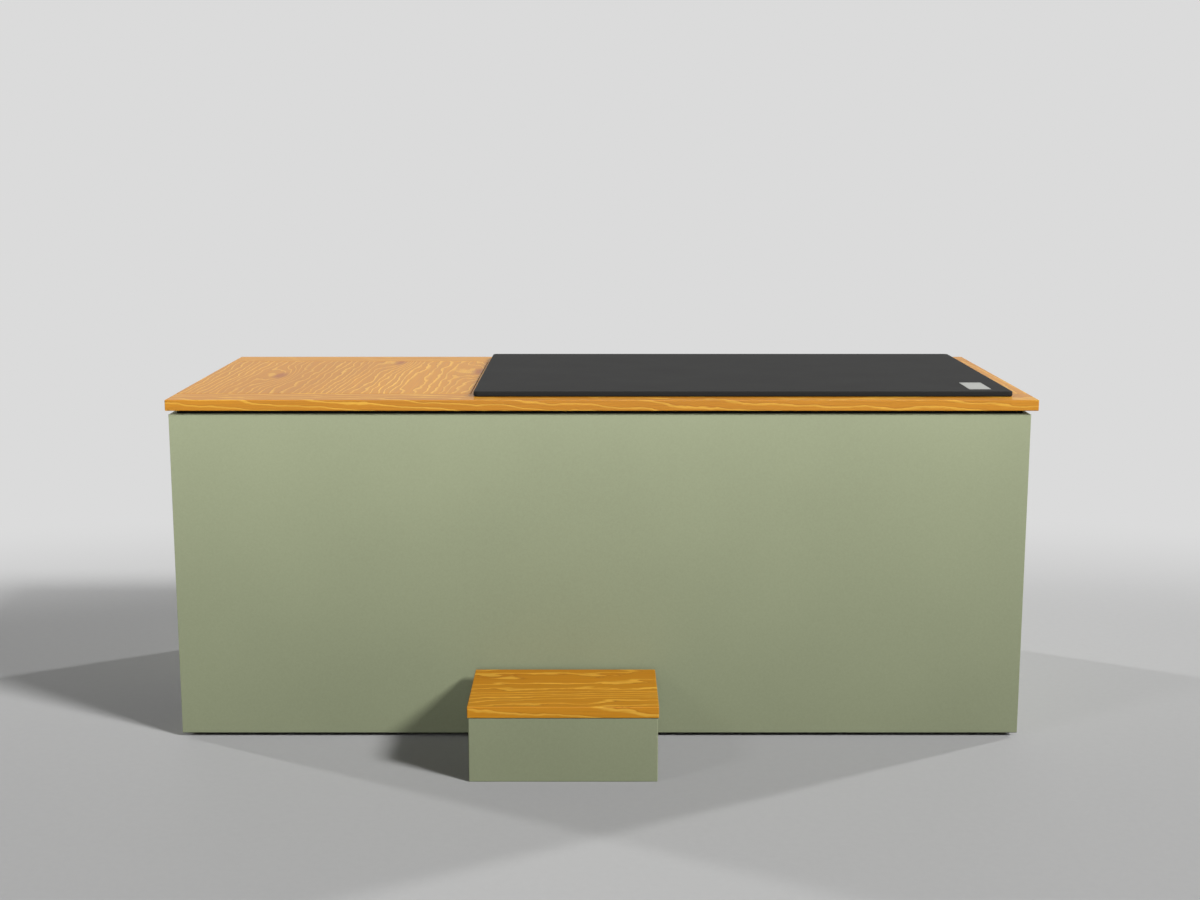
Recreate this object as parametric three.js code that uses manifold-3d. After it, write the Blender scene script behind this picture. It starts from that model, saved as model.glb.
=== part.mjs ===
// Cold plunge tub: a panelled cabinet that holds a moulded tub, with a timber top, a lift-off
// insulated cover, a service hatch over the chiller and water circuit, and a step that stands
// in front. Millimetres, +Z up. The front faces -Y and the equipment bay is at the -X end.
import * as THREE from 'three';
import { mergeVertices } from 'three/addons/utils/BufferGeometryUtils.js';
import Module from 'manifold-3d';

const wasm = await Module();
wasm.setup();

// Clearance between pieces that seat on each other
const FIT = 0.3;

// How far a cutting shape goes past the face that it opens, and a joined one into its neighbour
const OVERCUT = 1;

// Facets round the large and the small round pieces
const ROUND_SIDES = 16;
const SMALL_SIDES = 12;

// Cabinet
const BODY_LENGTH = 1932;
const BODY_DEPTH = 792;
const BODY_HEIGHT = 746.5;
const FOOT_GAP = 8.5;
const SHEET = 2;
const BEND_RADIUS = 3;
const TOP_RETURN = 45;
const BOTTOM_RETURN = 30;
const CORNER_TAB = 25;
const CORNER_TAB_MARGIN = 70;
const BASE_THICKNESS = 18;
const FOOT_RADIUS = 30;
const FOOT_EASE = 3;
const FOOT_TAPER = 4;
const FOOT_INSET_X = 90;
const FOOT_INSET_Y = 70;
const BULKHEAD_THICKNESS = 18;
const LEDGER_GAP = 4;
const LEDGER_HEIGHT = 68;
const FOAM_MARGIN = 6;

// Recessed dark band between the cabinet and the timber top
const BAND_HEIGHT = 8.6;
const BAND_INSET = 15.5;
const BAND_WIDTH = 28;

// Timber top
const TOP_THICKNESS = 24.7;
const TIMBER_EASE = 2;
const OVERHANG_LEFT = 5;
const OVERHANG_RIGHT = 14;
const OVERHANG_FRONT = 10;
const OVERHANG_BACK = 10;
const FRONT_RAIL = 105;
const BACK_RAIL = 100;
const RIGHT_RAIL = 96;
const MID_RAIL = 59;
const HATCH_LENGTH = 675;
const HATCH_GAP = 0.9;
const BATTEN_WIDTH = 45;
const BATTEN_THICKNESS = 18;
const BATTEN_MARGIN = 110;
const BATTEN_END_GAP = 10;

// Cover
const COVER_LENGTH = 1220;
const COVER_DEPTH = 728;
const COVER_THICKNESS = 12;
const COVER_RIGHT_INSET = 46;
const COVER_FRONT_INSET = 49;
const COVER_CORNER = 9;
const COVER_EDGE = 3;
const PLUG_THICKNESS = 50;
const PLUG_GAP = 5;

// Moulded tub
const TUB_WALL = 6;
const TUB_FLOOR_HEIGHT = 110;
const MOUTH_SETBACK = 10;
const MOUTH_CORNER = 70;
const FLOOR_CORNER = 60;
const FLOOR_FILLET = 25;
const WALL_DRAFT = 30;
const BACKREST_RUN = 150;
const LIP_RADIUS = 8;
const FLANGE_CORNER = 10;

// Water fittings and hoses
const SPIGOT_RADIUS = 12.5;
const SPIGOT_BORE = 9;
const SPIGOT_LENGTH = 42;
const HOSE_WALL = 3.5;
const HOSE_GRIP = 26;
const HOSE_BEND = 36;
const HOSE_SIDES = 8;
const BARREL_RADIUS = 20;
const SUCTION_RADIUS = 42;
const SUCTION_SLOTS = 6;
const SUCTION_DOME = 2;
const SUCTION_RISE = 90;
const SUCTION_OFFSET = 32;
const RETURN_RADIUS = 36;
const RETURN_DROP = 205;
const RETURN_OFFSET = -38;
const DRAIN_RADIUS = 30;
const DRAIN_RISE = 60;
const FITTING_FLANGE = 6;
const FITTING_EASE = 3;
const EYEBALL_RADIUS = 15;
const EYEBALL_BORE = 7;
const NOZZLE_WALL = 3;
const NOZZLE_OUT = 5;

// Air grilles
const INTAKE_WIDTH = 370;
const INTAKE_HEIGHT = 360;
const EXHAUST_WIDTH = 360;
const EXHAUST_HEIGHT = 270;
const EXHAUST_RISE = 320;
const EXHAUST_INSET = 150;
const GRILLE_FLANGE = 14;
const GRILLE_PLATE = 2;
const GRILLE_DEPTH = 20;
const GRILLE_CORNER = 6;
const GRILLE_RIM = 3;
const LOUVRE_PITCH = 34;
const LOUVRE_WIDTH = 24;
const LOUVRE_THICKNESS = 2;
const LOUVRE_ANGLE = 40;

// Chiller
const TRAY_INSET_X = 16;
const TRAY_INSET_Y = 58;
const TRAY_LENGTH = 335;
const TRAY_DEPTH = 412;
const TRAY_EDGE = 20;
const CONDENSER_GAP = 14;
const CONDENSER_THICKNESS = 40;
const CONDENSER_WIDTH = 380;
const CONDENSER_HEIGHT = 410;
const FIN_COUNT = 24;
const FIN_DEPTH = 14;
const FIN_THICKNESS = 3;
const SHROUD_DEPTH = 28;
const SHROUD_RING_DEPTH = 38;
const SHROUD_RING_OVERLAP = 10;
const SHROUD_RING_WALL = 3;
const FAN_RADIUS = 148;
const FAN_TIP_GAP = 5;
const FAN_HUB_RADIUS = 40;
const FAN_BLADES = 5;
const FAN_SIDES = 24;
const FAN_DEPTH = 24;
const FAN_HUB_EASE = [10, 6];
const BLADE_ROOT = 4;
const BLADE_CHORD = [0.36, 0.6];
const BLADE_PITCH = [21, 12];
const BLADE_CAMBER = 0.05;
const BLADE_SKIN = 1.2;
const FAN_MOTOR_RADIUS = 44;
const FAN_MOTOR_LENGTH = 46;
const FAN_MOTOR_EASE = 8;
const FAN_SHAFT_RADIUS = 5;
const SPIDER_ARM = 10;
const COMPRESSOR_RADIUS = 78;
const COMPRESSOR_HEIGHT = 232;
const COMPRESSOR_DOME = 52;
const COMPRESSOR_MARGIN = [10, 20];
const SEAM_SHARE = 0.55;
const SEAM_OUT = 3;
const SEAM_HEIGHT = 8;
const EVAPORATOR_RADIUS = 55;
const EVAPORATOR_HEIGHT = 345;
const EVAPORATOR_DOME = 30;
const EVAPORATOR_INSET = 85;
const EVAPORATOR_IN_RISE = 180;
const EVAPORATOR_OUT_RISE = 300;
const VESSEL_FOOT_INSET = 8;
const VESSEL_FOOT_HEIGHT = 6;
const VESSEL_SHOULDER = 14;
const STUB_RADIUS = 7;
const STUB_LENGTH = 14;
const PIPE_RADIUS = 4.5;
const PIPE_BEND = 28;
const PIPE_RISE = 55;
const PIPE_SIDES = 6;
const PIPE_STEPS = 14;

// Pump, filter, drain valve and controls
const PUMP_AXIS_RISE = 80;
const VOLUTE_RADIUS = 62;
const VOLUTE_WIDTH = 46;
const PUMP_MOTOR_RADIUS = 52;
const PUMP_MOTOR_LENGTH = 106;
const PUMP_MOTOR_EASE = 10;
const PUMP_RIBS = 3;
const PUMP_RIB_DEPTH = 5;
const PUMP_FOOT_HEIGHT = 8;
const PUMP_FOOT_INSET = [15, 10];
const PUMP_OUTLET_INSET = 6;
const PUMP_STANDOFF = 122;
const CANISTER_RADIUS = 75;
const CANISTER_WALL = 5;
const CANISTER_HEIGHT = 372;
const CANISTER_RIM = 9;
const CANISTER_RIM_HEIGHT = 12;
const CANISTER_FOOT_EASE = [4, 6];
const PORT_OVERLAP = 3;
const CANISTER_Y = 200;
const CANISTER_GAP = 25;
const CANISTER_IN_RISE = 310;
const LID_HEIGHT = 16;
const LID_SKIRT = 10;
const LID_PLAY = 2;
const LID_EASE = [6, 4];
const LID_GRIP_INSET = 12;
const LID_GRIP_HEIGHT = 18;
const LID_GRIP_WIDTH = 16;
const CARTRIDGE_RADIUS = 58;
const PLEAT_DEPTH = 13;
const PLEAT_COUNT = 24;
const CARTRIDGE_BORE = 24;
const CARTRIDGE_HEIGHT = 340;
const VALVE_X_GAP = 82;
const VALVE_BODY_RADIUS = 22;
const VALVE_BODY_LENGTH = 48;
const VALVE_FLANGE_RADIUS = 28;
const VALVE_TAIL_RADIUS = 14;
const VALVE_TAIL_OUT = 8;
const VALVE_FLANGE = 4;
const VALVE_STEM_RADIUS = 7;
const VALVE_STEM_OUT = 8;
const VALVE_WALL = 3;
const LEVER_LENGTH = 88;
const LEVER_WIDTH = 16;
const LEVER_THICKNESS = 5;
const CONTROL_BOX_DEPTH = 62;
const CONTROL_BOX_WIDTH = 190;
const CONTROL_BOX_HEIGHT = 210;
const CONTROL_BOX_Y = 480;
const CONTROL_BOX_RISE = 420;
const CONTROL_LID = 12;
const CONTROL_LID_CORNER = 10;
const CONTROL_INSET = 3;
const CONTROL_CORNER = 8;
const INLET_SIZE = 60;
const INLET_PLATE = 3.5;
const INLET_BODY = 48;
const INLET_BODY_DEPTH = 30;
const INLET_RISE = 545;
const INLET_INSET = 86;
const INLET_CORNER = 5;
const SOCKET_OFFSET = 9;
const SOCKET_WIDTH = 22;
const SOCKET_HEIGHT = 34;
const SOCKET_DEPTH = 18;
const SOCKET_CORNER = 4;
const PIN_PITCH = 9;
const PIN_WIDTH = 6;
const PIN_THICKNESS = 2;
const PIN_SETBACK = 4;
const ROCKER_OFFSET = 13;
const ROCKER_SLOT_DEPTH = 12;
const ROCKER_SLOT_MARGIN = 2;
const ROCKER_PIVOT_DEPTH = 3;
const ROCKER_CREST = 2.5;
const ROCKER_DIP = 1;
const ROCKER_KEEL = 5;
const ROCKER_KEEL_HEIGHT = 12;
const ROCKER_WIDTH = 13.4;
const ROCKER_HEIGHT = 20;
const ROCKER_TILT = 8;

// Step
const STEP_LENGTH = 406;
const STEP_DEPTH = 260;
const STEP_BOX_HEIGHT = 143;
const STEP_X = -78.5;
const STEP_GAP = 22.5;
const STEP_RETURN = 25;
const STEP_HEM = 14;
const TREAD_THICKNESS = 25.3;
const TREAD_OVERHANG = 2;

// Levels and edges worked out from the sizes above
const bodyLeft = -BODY_LENGTH / 2;
const bodyRight = BODY_LENGTH / 2;
const bodyTop = FOOT_GAP + BODY_HEIGHT;
const innerLeft = bodyLeft + SHEET + FIT;
const innerRight = bodyRight - SHEET - FIT;
const innerFront = SHEET + FIT;
const innerBack = BODY_DEPTH - SHEET - FIT;
const baseBottom = FOOT_GAP + SHEET + FIT;
const baseTop = baseBottom + BASE_THICKNESS;
const bayFloor = baseTop + FIT;
const woodBottom = bodyTop + BAND_HEIGHT + 2 * FIT;
const woodTop = woodBottom + TOP_THICKNESS;
const woodLeft = bodyLeft - OVERHANG_LEFT;
const woodRight = bodyRight + OVERHANG_RIGHT;
const woodFront = -OVERHANG_FRONT;
const woodBack = BODY_DEPTH + OVERHANG_BACK;
const openingFront = woodFront + FRONT_RAIL;
const openingBack = woodBack - BACK_RAIL;
const openingRight = woodRight - RIGHT_RAIL;
const hatchRight = woodLeft + HATCH_LENGTH;
const openingLeft = hatchRight + HATCH_GAP + MID_RAIL;
const bulkheadLeft = hatchRight + HATCH_GAP / 2 - BULKHEAD_THICKNESS / 2;
const bulkheadRight = bulkheadLeft + BULKHEAD_THICKNESS;
const flangeTop = woodBottom - FIT;
const flangeBottom = flangeTop - TUB_WALL;
const ledgerBottom = flangeBottom - FIT - LEDGER_HEIGHT;

const SAGE = { color: 0x8f9777, roughness: 0.55, metalness: 0 };
const TIMBER = { color: 0xc78a3f, roughness: 0.4, metalness: 0 };
const PLY = { color: 0xb99a6b, roughness: 0.7, metalness: 0 };
const BLACK_FOAM = { color: 0x262724, roughness: 0.8, metalness: 0 };
const BLACK_PLASTIC = { color: 0x1d1e1e, roughness: 0.55, metalness: 0 };
const RUBBER = { color: 0x151515, roughness: 0.85, metalness: 0 };
const ACRYLIC = { color: 0xeef0f0, roughness: 0.15, metalness: 0 };
const INSULATION = { color: 0xe3d7a8, roughness: 0.95, metalness: 0 };
const GALVANISED = { color: 0xa9adb0, roughness: 0.4, metalness: 1 };
const ALUMINIUM = { color: 0xc4c7c9, roughness: 0.45, metalness: 1 };
const COPPER = { color: 0xb4693f, roughness: 0.3, metalness: 1 };
const BRASS = { color: 0xb08d4a, roughness: 0.3, metalness: 1 };
const BLACK_PAINT = { color: 0x202224, roughness: 0.45, metalness: 0.2 };
const WHITE_PLASTIC = { color: 0xdfe2e2, roughness: 0.45, metalness: 0 };
const CLEAR_HOSE = { color: 0x9fb4bd, roughness: 0.4, metalness: 0 };
const PAPER = { color: 0xeceae2, roughness: 0.9, metalness: 0 };
const RED_GRIP = { color: 0xa5231f, roughness: 0.5, metalness: 0 };

const X_AXIS = new THREE.Vector3(1, 0, 0);
const Y_AXIS = new THREE.Vector3(0, 1, 0);
const Z_AXIS = new THREE.Vector3(0, 0, 1);

// A closed three.js geometry as a solid with its faces pointing out
function solid(geometry) {
  const bare = geometry.clone();
  bare.deleteAttribute('normal');
  bare.deleteAttribute('uv');
  const merged = mergeVertices(bare, 1e-3);
  const position = merged.attributes.position;
  const index = merged.index.array;
  const triangles = [];
  let volume = 0;
  const [a, b, c] = [new THREE.Vector3(), new THREE.Vector3(), new THREE.Vector3()];
  for (let i = 0; i < index.length; i += 3) {
    const [p, q, r] = [index[i], index[i + 1], index[i + 2]];
    if (p === q || q === r || r === p) continue;
    triangles.push(p, q, r);
    a.fromBufferAttribute(position, p);
    b.fromBufferAttribute(position, q);
    c.fromBufferAttribute(position, r);
    volume += a.dot(b.cross(c));
  }
  if (volume < 0) triangles.reverse();
  return new wasm.Manifold(new wasm.Mesh({
    numProp: 3,
    vertProperties: new Float32Array(position.array),
    triVerts: new Uint32Array(triangles),
  }));
}

function geometryOf(shape) {
  const mesh = shape.getMesh();
  const geometry = new THREE.BufferGeometry();
  geometry.setAttribute('position', new THREE.BufferAttribute(mesh.vertProperties, 3));
  geometry.setIndex(new THREE.BufferAttribute(mesh.triVerts, 1));
  geometry.computeVertexNormals();
  return geometry;
}

function joined(...shapes) {
  return shapes.reduce((whole, shape) => whole.add(shape));
}

function cut(shape, ...tools) {
  return tools.reduce((rest, tool) => rest.subtract(tool), shape);
}

function box(x0, x1, y0, y1, z0, z1) {
  const geometry = new THREE.BoxGeometry(x1 - x0, y1 - y0, z1 - z0);
  geometry.translate((x0 + x1) / 2, (y0 + y1) / 2, (z0 + z1) / 2);
  return solid(geometry);
}

// A closed outline whose corners are [a, b] or, where rounded, [a, b, radius]
function outline(corners) {
  const shape = new THREE.Shape();
  corners.forEach(([a, b, radius = 0], i) => {
    const here = new THREE.Vector2(a, b);
    const before = new THREE.Vector2(...corners.at(i - 1).slice(0, 2));
    const after = new THREE.Vector2(...corners[(i + 1) % corners.length].slice(0, 2));
    const start = before.sub(here).setLength(radius).add(here);
    const end = after.sub(here).setLength(radius).add(here);
    if (i === 0) shape.moveTo(start.x, start.y);
    else shape.lineTo(start.x, start.y);
    if (radius > 0) shape.quadraticCurveTo(a, b, end.x, end.y);
  });
  shape.closePath();
  return shape;
}

function roundedRectangle(a0, a1, b0, b1, radius) {
  return outline([[a0, b0, radius], [a1, b0, radius], [a1, b1, radius], [a0, b1, radius]]);
}

function circle(radius, sides, a = 0, b = 0) {
  const points = [];
  for (let i = 0; i < sides; i += 1) {
    const angle = 2 * Math.PI * (i + 0.5) / sides;
    points.push(new THREE.Vector2(a + radius * Math.cos(angle), b + radius * Math.sin(angle)));
  }
  return new THREE.Shape(points);
}

function extruded(shape, depth, curveSegments) {
  return new THREE.ExtrudeGeometry(shape, { depth, bevelEnabled: false, curveSegments });
}

// An outline in (Y, Z), (X, Z) or (X, Y) drawn out along the axis that is left
function alongX(shape, x0, x1, curveSegments = 3) {
  const geometry = extruded(shape, x1 - x0, curveSegments);
  geometry.applyMatrix4(new THREE.Matrix4().makeBasis(Y_AXIS, Z_AXIS, X_AXIS));
  geometry.translate(x0, 0, 0);
  return solid(geometry);
}

function alongY(shape, y0, y1, curveSegments = 3) {
  const geometry = extruded(shape, y1 - y0, curveSegments);
  const back = Y_AXIS.clone().negate();
  geometry.applyMatrix4(new THREE.Matrix4().makeBasis(X_AXIS, Z_AXIS, back));
  geometry.translate(0, y1, 0);
  return solid(geometry);
}

function alongZ(shape, z0, z1, curveSegments = 3) {
  const geometry = extruded(shape, z1 - z0, curveSegments);
  geometry.translate(0, 0, z0);
  return solid(geometry);
}

// A profile of [radius, height] points spun about an axis through the given centre
function spun(profile, axis, centre = [0, 0, 0], sides = ROUND_SIDES) {
  const points = profile.map(([radius, height]) => new THREE.Vector2(radius, height));
  const geometry = new THREE.LatheGeometry(points, sides);
  geometry.applyQuaternion(new THREE.Quaternion().setFromUnitVectors(Y_AXIS, axis));
  geometry.translate(...centre);
  return solid(geometry);
}

function rod(radius, from, to, axis, centre = [0, 0, 0], sides = SMALL_SIDES) {
  return spun([[0, from], [radius, from], [radius, to], [0, to]], axis, centre, sides);
}

// The radius of a faceted bore that clears a round bar of the given radius
function clearing(radius, sides) {
  return (radius + FIT) / Math.cos(Math.PI / sides);
}

// A run of straight lengths through the points, with each corner bent to a radius
function route(points, bend) {
  const path = new THREE.CurvePath();
  const corners = points.map((point) => new THREE.Vector3(...point));
  let from = corners[0];
  for (let i = 1; i < corners.length - 1; i += 1) {
    const corner = corners[i];
    const room = Math.min(corner.distanceTo(corners[i - 1]), corner.distanceTo(corners[i + 1]));
    const reach = Math.min(bend, room / 2);
    const before = corners[i - 1].clone().sub(corner).setLength(reach).add(corner);
    const after = corners[i + 1].clone().sub(corner).setLength(reach).add(corner);
    path.add(new THREE.LineCurve3(from, before));
    path.add(new THREE.QuadraticBezierCurve3(before, corner, after));
    from = after;
  }
  path.add(new THREE.LineCurve3(from, corners.at(-1)));
  return path;
}

// A tube along a route, with a bore where one is given
function tube(points, radius, bore, bend, sides, steps) {
  const section = circle(radius, sides);
  if (bore > 0) section.holes.push(circle(bore, sides));
  const extrudePath = route(points, bend);
  return solid(new THREE.ExtrudeGeometry(section, { steps, extrudePath, bevelEnabled: false }));
}

// The object, centred on the middle of its footprint
const coldPlunge = new THREE.Group();
const stepFront = -STEP_GAP - STEP_DEPTH - 2 * TREAD_OVERHANG;
coldPlunge.position.set(-(woodLeft + woodRight) / 2, -(stepFront + woodBack) / 2, 0);

function piece(name, shape, finish, parent = coldPlunge) {
  const mesh = new THREE.Mesh(geometryOf(shape), new THREE.MeshStandardMaterial(finish));
  mesh.name = name;
  parent.add(mesh);
  return mesh;
}

// Cabinet panels: sheet folded into channels, with the folds notched at the corners

// The channel's section: the face at 0, and the top and bottom folds reaching in along +a
function channelSection(place) {
  const z0 = FOOT_GAP;
  const corners = [
    [TOP_RETURN, bodyTop],
    [0, bodyTop, BEND_RADIUS],
    [0, z0, BEND_RADIUS],
    [BOTTOM_RETURN, z0],
    [BOTTOM_RETURN, z0 + SHEET],
    [SHEET, z0 + SHEET],
    [SHEET, bodyTop - SHEET],
    [TOP_RETURN, bodyTop - SHEET],
  ];
  return outline(corners.map(([a, z, radius]) => [place(a), z, radius]));
}

function longPanel(place) {
  const notchFrom = place(SHEET);
  const notchTo = place(TOP_RETURN + OVERCUT);
  const [y0, y1] = [Math.min(notchFrom, notchTo), Math.max(notchFrom, notchTo)];
  const leftNotch = box(bodyLeft - OVERCUT, innerLeft, y0, y1, 0, bodyTop + OVERCUT);
  const rightNotch = box(innerRight, bodyRight + OVERCUT, y0, y1, 0, bodyTop + OVERCUT);
  return cut(alongX(channelSection(place), bodyLeft, bodyRight), leftNotch, rightNotch);
}

function endPanel(place) {
  const notchFrom = place(SHEET);
  const notchTo = place(TOP_RETURN + OVERCUT);
  const [x0, x1] = [Math.min(notchFrom, notchTo), Math.max(notchFrom, notchTo)];
  const clear = TOP_RETURN + FIT;
  const frontNotch = box(x0, x1, 0, clear, 0, bodyTop + OVERCUT);
  const backNotch = box(x0, x1, BODY_DEPTH - clear, BODY_DEPTH, 0, bodyTop + OVERCUT);
  const face = cut(alongY(channelSection(place), innerFront, innerBack), frontNotch, backNotch);
  const tabEnds = [place(0), place(CORNER_TAB)].sort((a, b) => a - b);
  const tabZ = [FOOT_GAP + CORNER_TAB_MARGIN, bodyTop - SHEET - CORNER_TAB_MARGIN];
  const frontTab = box(...tabEnds, innerFront, innerFront + SHEET, ...tabZ);
  const backTab = box(...tabEnds, innerBack - SHEET, innerBack, ...tabZ);
  return joined(face, frontTab, backTab);
}

// Places shared by the panels and what fits them
const condenserX = innerLeft + TRAY_INSET_X + CONDENSER_GAP;
const condenserY = TRAY_INSET_Y + (TRAY_DEPTH - CONDENSER_WIDTH) / 2;
const trayTop = bayFloor + SHEET + FIT;
const fanY = condenserY + CONDENSER_WIDTH / 2;
const fanZ = trayTop + CONDENSER_HEIGHT / 2;
const exhaustX = innerLeft + EXHAUST_INSET + EXHAUST_WIDTH / 2;
const exhaustZ = bayFloor + EXHAUST_RISE + EXHAUST_HEIGHT / 2;
const inletX = innerLeft + INLET_INSET;
const inletZ = bayFloor + INLET_RISE;
const valveX = bulkheadLeft - VALVE_X_GAP;
const drainZ = TUB_FLOOR_HEIGHT + DRAIN_RISE;

function cabinet() {
  const front = longPanel((a) => a);
  const rearY = [innerBack - OVERCUT, BODY_DEPTH + OVERCUT];
  const exhaustCut = box(
    exhaustX - EXHAUST_WIDTH / 2, exhaustX + EXHAUST_WIDTH / 2, ...rearY,
    exhaustZ - EXHAUST_HEIGHT / 2, exhaustZ + EXHAUST_HEIGHT / 2,
  );
  const inletReach = INLET_BODY / 2 + FIT;
  const inletCut = box(
    inletX - inletReach, inletX + inletReach, ...rearY,
    inletZ - inletReach, inletZ + inletReach,
  );
  const tailBore = clearing(VALVE_TAIL_RADIUS, SMALL_SIDES);
  const tailCut = rod(tailBore, ...rearY, Y_AXIS, [valveX, 0, drainZ]);
  const rear = cut(longPanel((a) => BODY_DEPTH - a), exhaustCut, inletCut, tailCut);
  const intakeCut = box(
    bodyLeft - OVERCUT, innerLeft + OVERCUT, fanY - INTAKE_WIDTH / 2, fanY + INTAKE_WIDTH / 2,
    fanZ - INTAKE_HEIGHT / 2, fanZ + INTAKE_HEIGHT / 2,
  );
  piece('front_panel', front, SAGE);
  piece('rear_panel', rear, SAGE);
  piece('left_end_panel', cut(endPanel((a) => bodyLeft + a), intakeCut), SAGE);
  piece('right_end_panel', endPanel((a) => bodyRight - a), SAGE);
  const board = box(innerLeft, innerRight, innerFront, innerBack, baseBottom, baseTop);
  piece('base_board', board, PLY);
}

// Rubber feet, set in from the edges so that the cabinet seems to float
function feet() {
  const height = baseBottom - FIT;
  const profile = [
    [0, 0], [FOOT_RADIUS - FOOT_EASE, 0], [FOOT_RADIUS, FOOT_EASE],
    [FOOT_RADIUS - FOOT_TAPER, height], [0, height],
  ];
  const columns = { left: bodyLeft + FOOT_INSET_X, middle: 0, right: bodyRight - FOOT_INSET_X };
  const rows = { front: FOOT_INSET_Y, rear: BODY_DEPTH - FOOT_INSET_Y };
  for (const [row, y] of Object.entries(rows)) {
    for (const [column, x] of Object.entries(columns)) {
      const foot = piece(`foot_${row}_${column}`, spun(profile, Z_AXIS, [0, 0, 0], SMALL_SIDES), RUBBER);
      foot.position.set(x, y, 0);
    }
  }
}

// Rebated ledgers along the front and rear panels carry the tub's flange
function ledgers() {
  const x0 = bulkheadRight + FIT;
  const x1 = bodyRight - TOP_RETURN - FIT;
  const clear = TUB_WALL + LIP_RADIUS + LEDGER_GAP;
  const section = (place, inner) => outline([
    [place(innerFront), ledgerBottom],
    [inner, ledgerBottom],
    [inner, flangeBottom - FIT],
    [place(TOP_RETURN + FIT), flangeBottom - FIT],
    [place(TOP_RETURN + FIT), bodyTop - SHEET - FIT],
    [place(innerFront), bodyTop - SHEET - FIT],
  ]);
  piece('front_ledger', alongX(section((y) => y, mouth.y0 - clear), x0, x1), PLY);
  piece('rear_ledger', alongX(section((y) => BODY_DEPTH - y, mouth.y1 + clear), x0, x1), PLY);
}

function shadowBand() {
  const z0 = bodyTop + FIT;
  const z1 = woodBottom - FIT;
  const x0 = bodyLeft + BAND_INSET;
  const x1 = bodyRight - BAND_INSET;
  const y0 = BAND_INSET;
  const y1 = BODY_DEPTH - BAND_INSET;
  const endY0 = y0 + BAND_WIDTH + FIT;
  const endY1 = y1 - BAND_WIDTH - FIT;
  piece('front_band', box(x0, x1, y0, y0 + BAND_WIDTH, z0, z1), BLACK_PLASTIC);
  piece('rear_band', box(x0, x1, y1 - BAND_WIDTH, y1, z0, z1), BLACK_PLASTIC);
  piece('left_band', box(x0, x0 + BAND_WIDTH, endY0, endY1, z0, z1), BLACK_PLASTIC);
  piece('right_band', box(x1 - BAND_WIDTH, x1, endY0, endY1, z0, z1), BLACK_PLASTIC);
}

// Timber top: rails round the tub's mouth, and a hatch board that lifts off the bay
function timberTop() {
  const z = [woodBottom, woodTop];
  const crossY = [openingFront + FIT, openingBack - FIT];
  const hatchY = [openingFront + HATCH_GAP, openingBack - HATCH_GAP];
  const frontSection = outline([
    [woodFront, woodBottom, TIMBER_EASE], [openingFront, woodBottom],
    [openingFront, woodTop], [woodFront, woodTop, TIMBER_EASE],
  ]);
  piece('front_rail', alongX(frontSection, woodLeft, woodRight), TIMBER);
  piece('rear_rail', box(woodLeft, woodRight, openingBack, woodBack, ...z), TIMBER);
  piece('mid_rail', box(hatchRight + HATCH_GAP, openingLeft, ...crossY, ...z), TIMBER);
  piece('right_rail', box(openingRight, woodRight, ...crossY, ...z), TIMBER);
  piece('hatch_board', box(woodLeft, hatchRight, ...hatchY, ...z), TIMBER);
  const battenX = [bodyLeft + TOP_RETURN + BATTEN_END_GAP, bulkheadLeft - BATTEN_END_GAP];
  const battenZ = [woodBottom - FIT - BATTEN_THICKNESS, woodBottom - FIT];
  const frontY = hatchY[0] + BATTEN_MARGIN;
  const backY = hatchY[1] - BATTEN_MARGIN - BATTEN_WIDTH;
  piece('hatch_batten_front', box(...battenX, frontY, frontY + BATTEN_WIDTH, ...battenZ), TIMBER);
  piece('hatch_batten_rear', box(...battenX, backY, backY + BATTEN_WIDTH, ...battenZ), TIMBER);
}

// Cover: a thin panel with eased edges over a foam plug that drops into the mouth
function cover() {
  const x1 = woodRight - COVER_RIGHT_INSET;
  const x0 = x1 - COVER_LENGTH;
  const y0 = woodFront + COVER_FRONT_INSET;
  const y1 = y0 + COVER_DEPTH;
  const e = COVER_EDGE;
  const face = roundedRectangle(x0 + e, x1 - e, y0 + e, y1 - e, COVER_CORNER);
  const panel = new THREE.ExtrudeGeometry(face, {
    depth: COVER_THICKNESS - 2 * e, bevelThickness: e, bevelSize: e, bevelSegments: 2, curveSegments: 4,
  });
  panel.translate(0, 0, woodTop + FIT + e);
  piece('cover_panel', solid(panel), BLACK_FOAM);
  const plug = roundedRectangle(
    openingLeft + PLUG_GAP, openingRight - PLUG_GAP,
    openingFront + PLUG_GAP, openingBack - PLUG_GAP, MOUTH_CORNER - MOUTH_SETBACK,
  );
  piece('cover_plug', alongZ(plug, woodTop - PLUG_THICKNESS, woodTop, 4), BLACK_FOAM);
}

// Moulded tub: lofted rings of rounded rectangles, out round the flange and back down inside

const mouth = {
  x0: openingLeft - MOUTH_SETBACK,
  x1: openingRight + MOUTH_SETBACK,
  y0: openingFront - MOUTH_SETBACK,
  y1: openingBack + MOUTH_SETBACK,
};
const tubFloor = {
  x0: mouth.x0,
  x1: mouth.x1 - BACKREST_RUN,
  y0: mouth.y0 + WALL_DRAFT,
  y1: mouth.y1 - WALL_DRAFT,
};
const flange = {
  x0: bulkheadRight + FIT,
  x1: bodyRight - TOP_RETURN - FIT,
  y0: TOP_RETURN + 2 * FIT,
  y1: BODY_DEPTH - TOP_RETURN - 2 * FIT,
};
const tubCentreY = (mouth.y0 + mouth.y1) / 2;
const suctionAt = { y: tubCentreY + SUCTION_OFFSET, z: TUB_FLOOR_HEIGHT + SUCTION_RISE };
const returnAt = { y: tubCentreY + RETURN_OFFSET, z: flangeTop - RETURN_DROP };
const drainAt = { y: tubFloor.y1 - FLOOR_CORNER - 1.3 * DRAIN_RADIUS, z: drainZ };
const spigotEnd = bulkheadLeft - SPIGOT_LENGTH;

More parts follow.
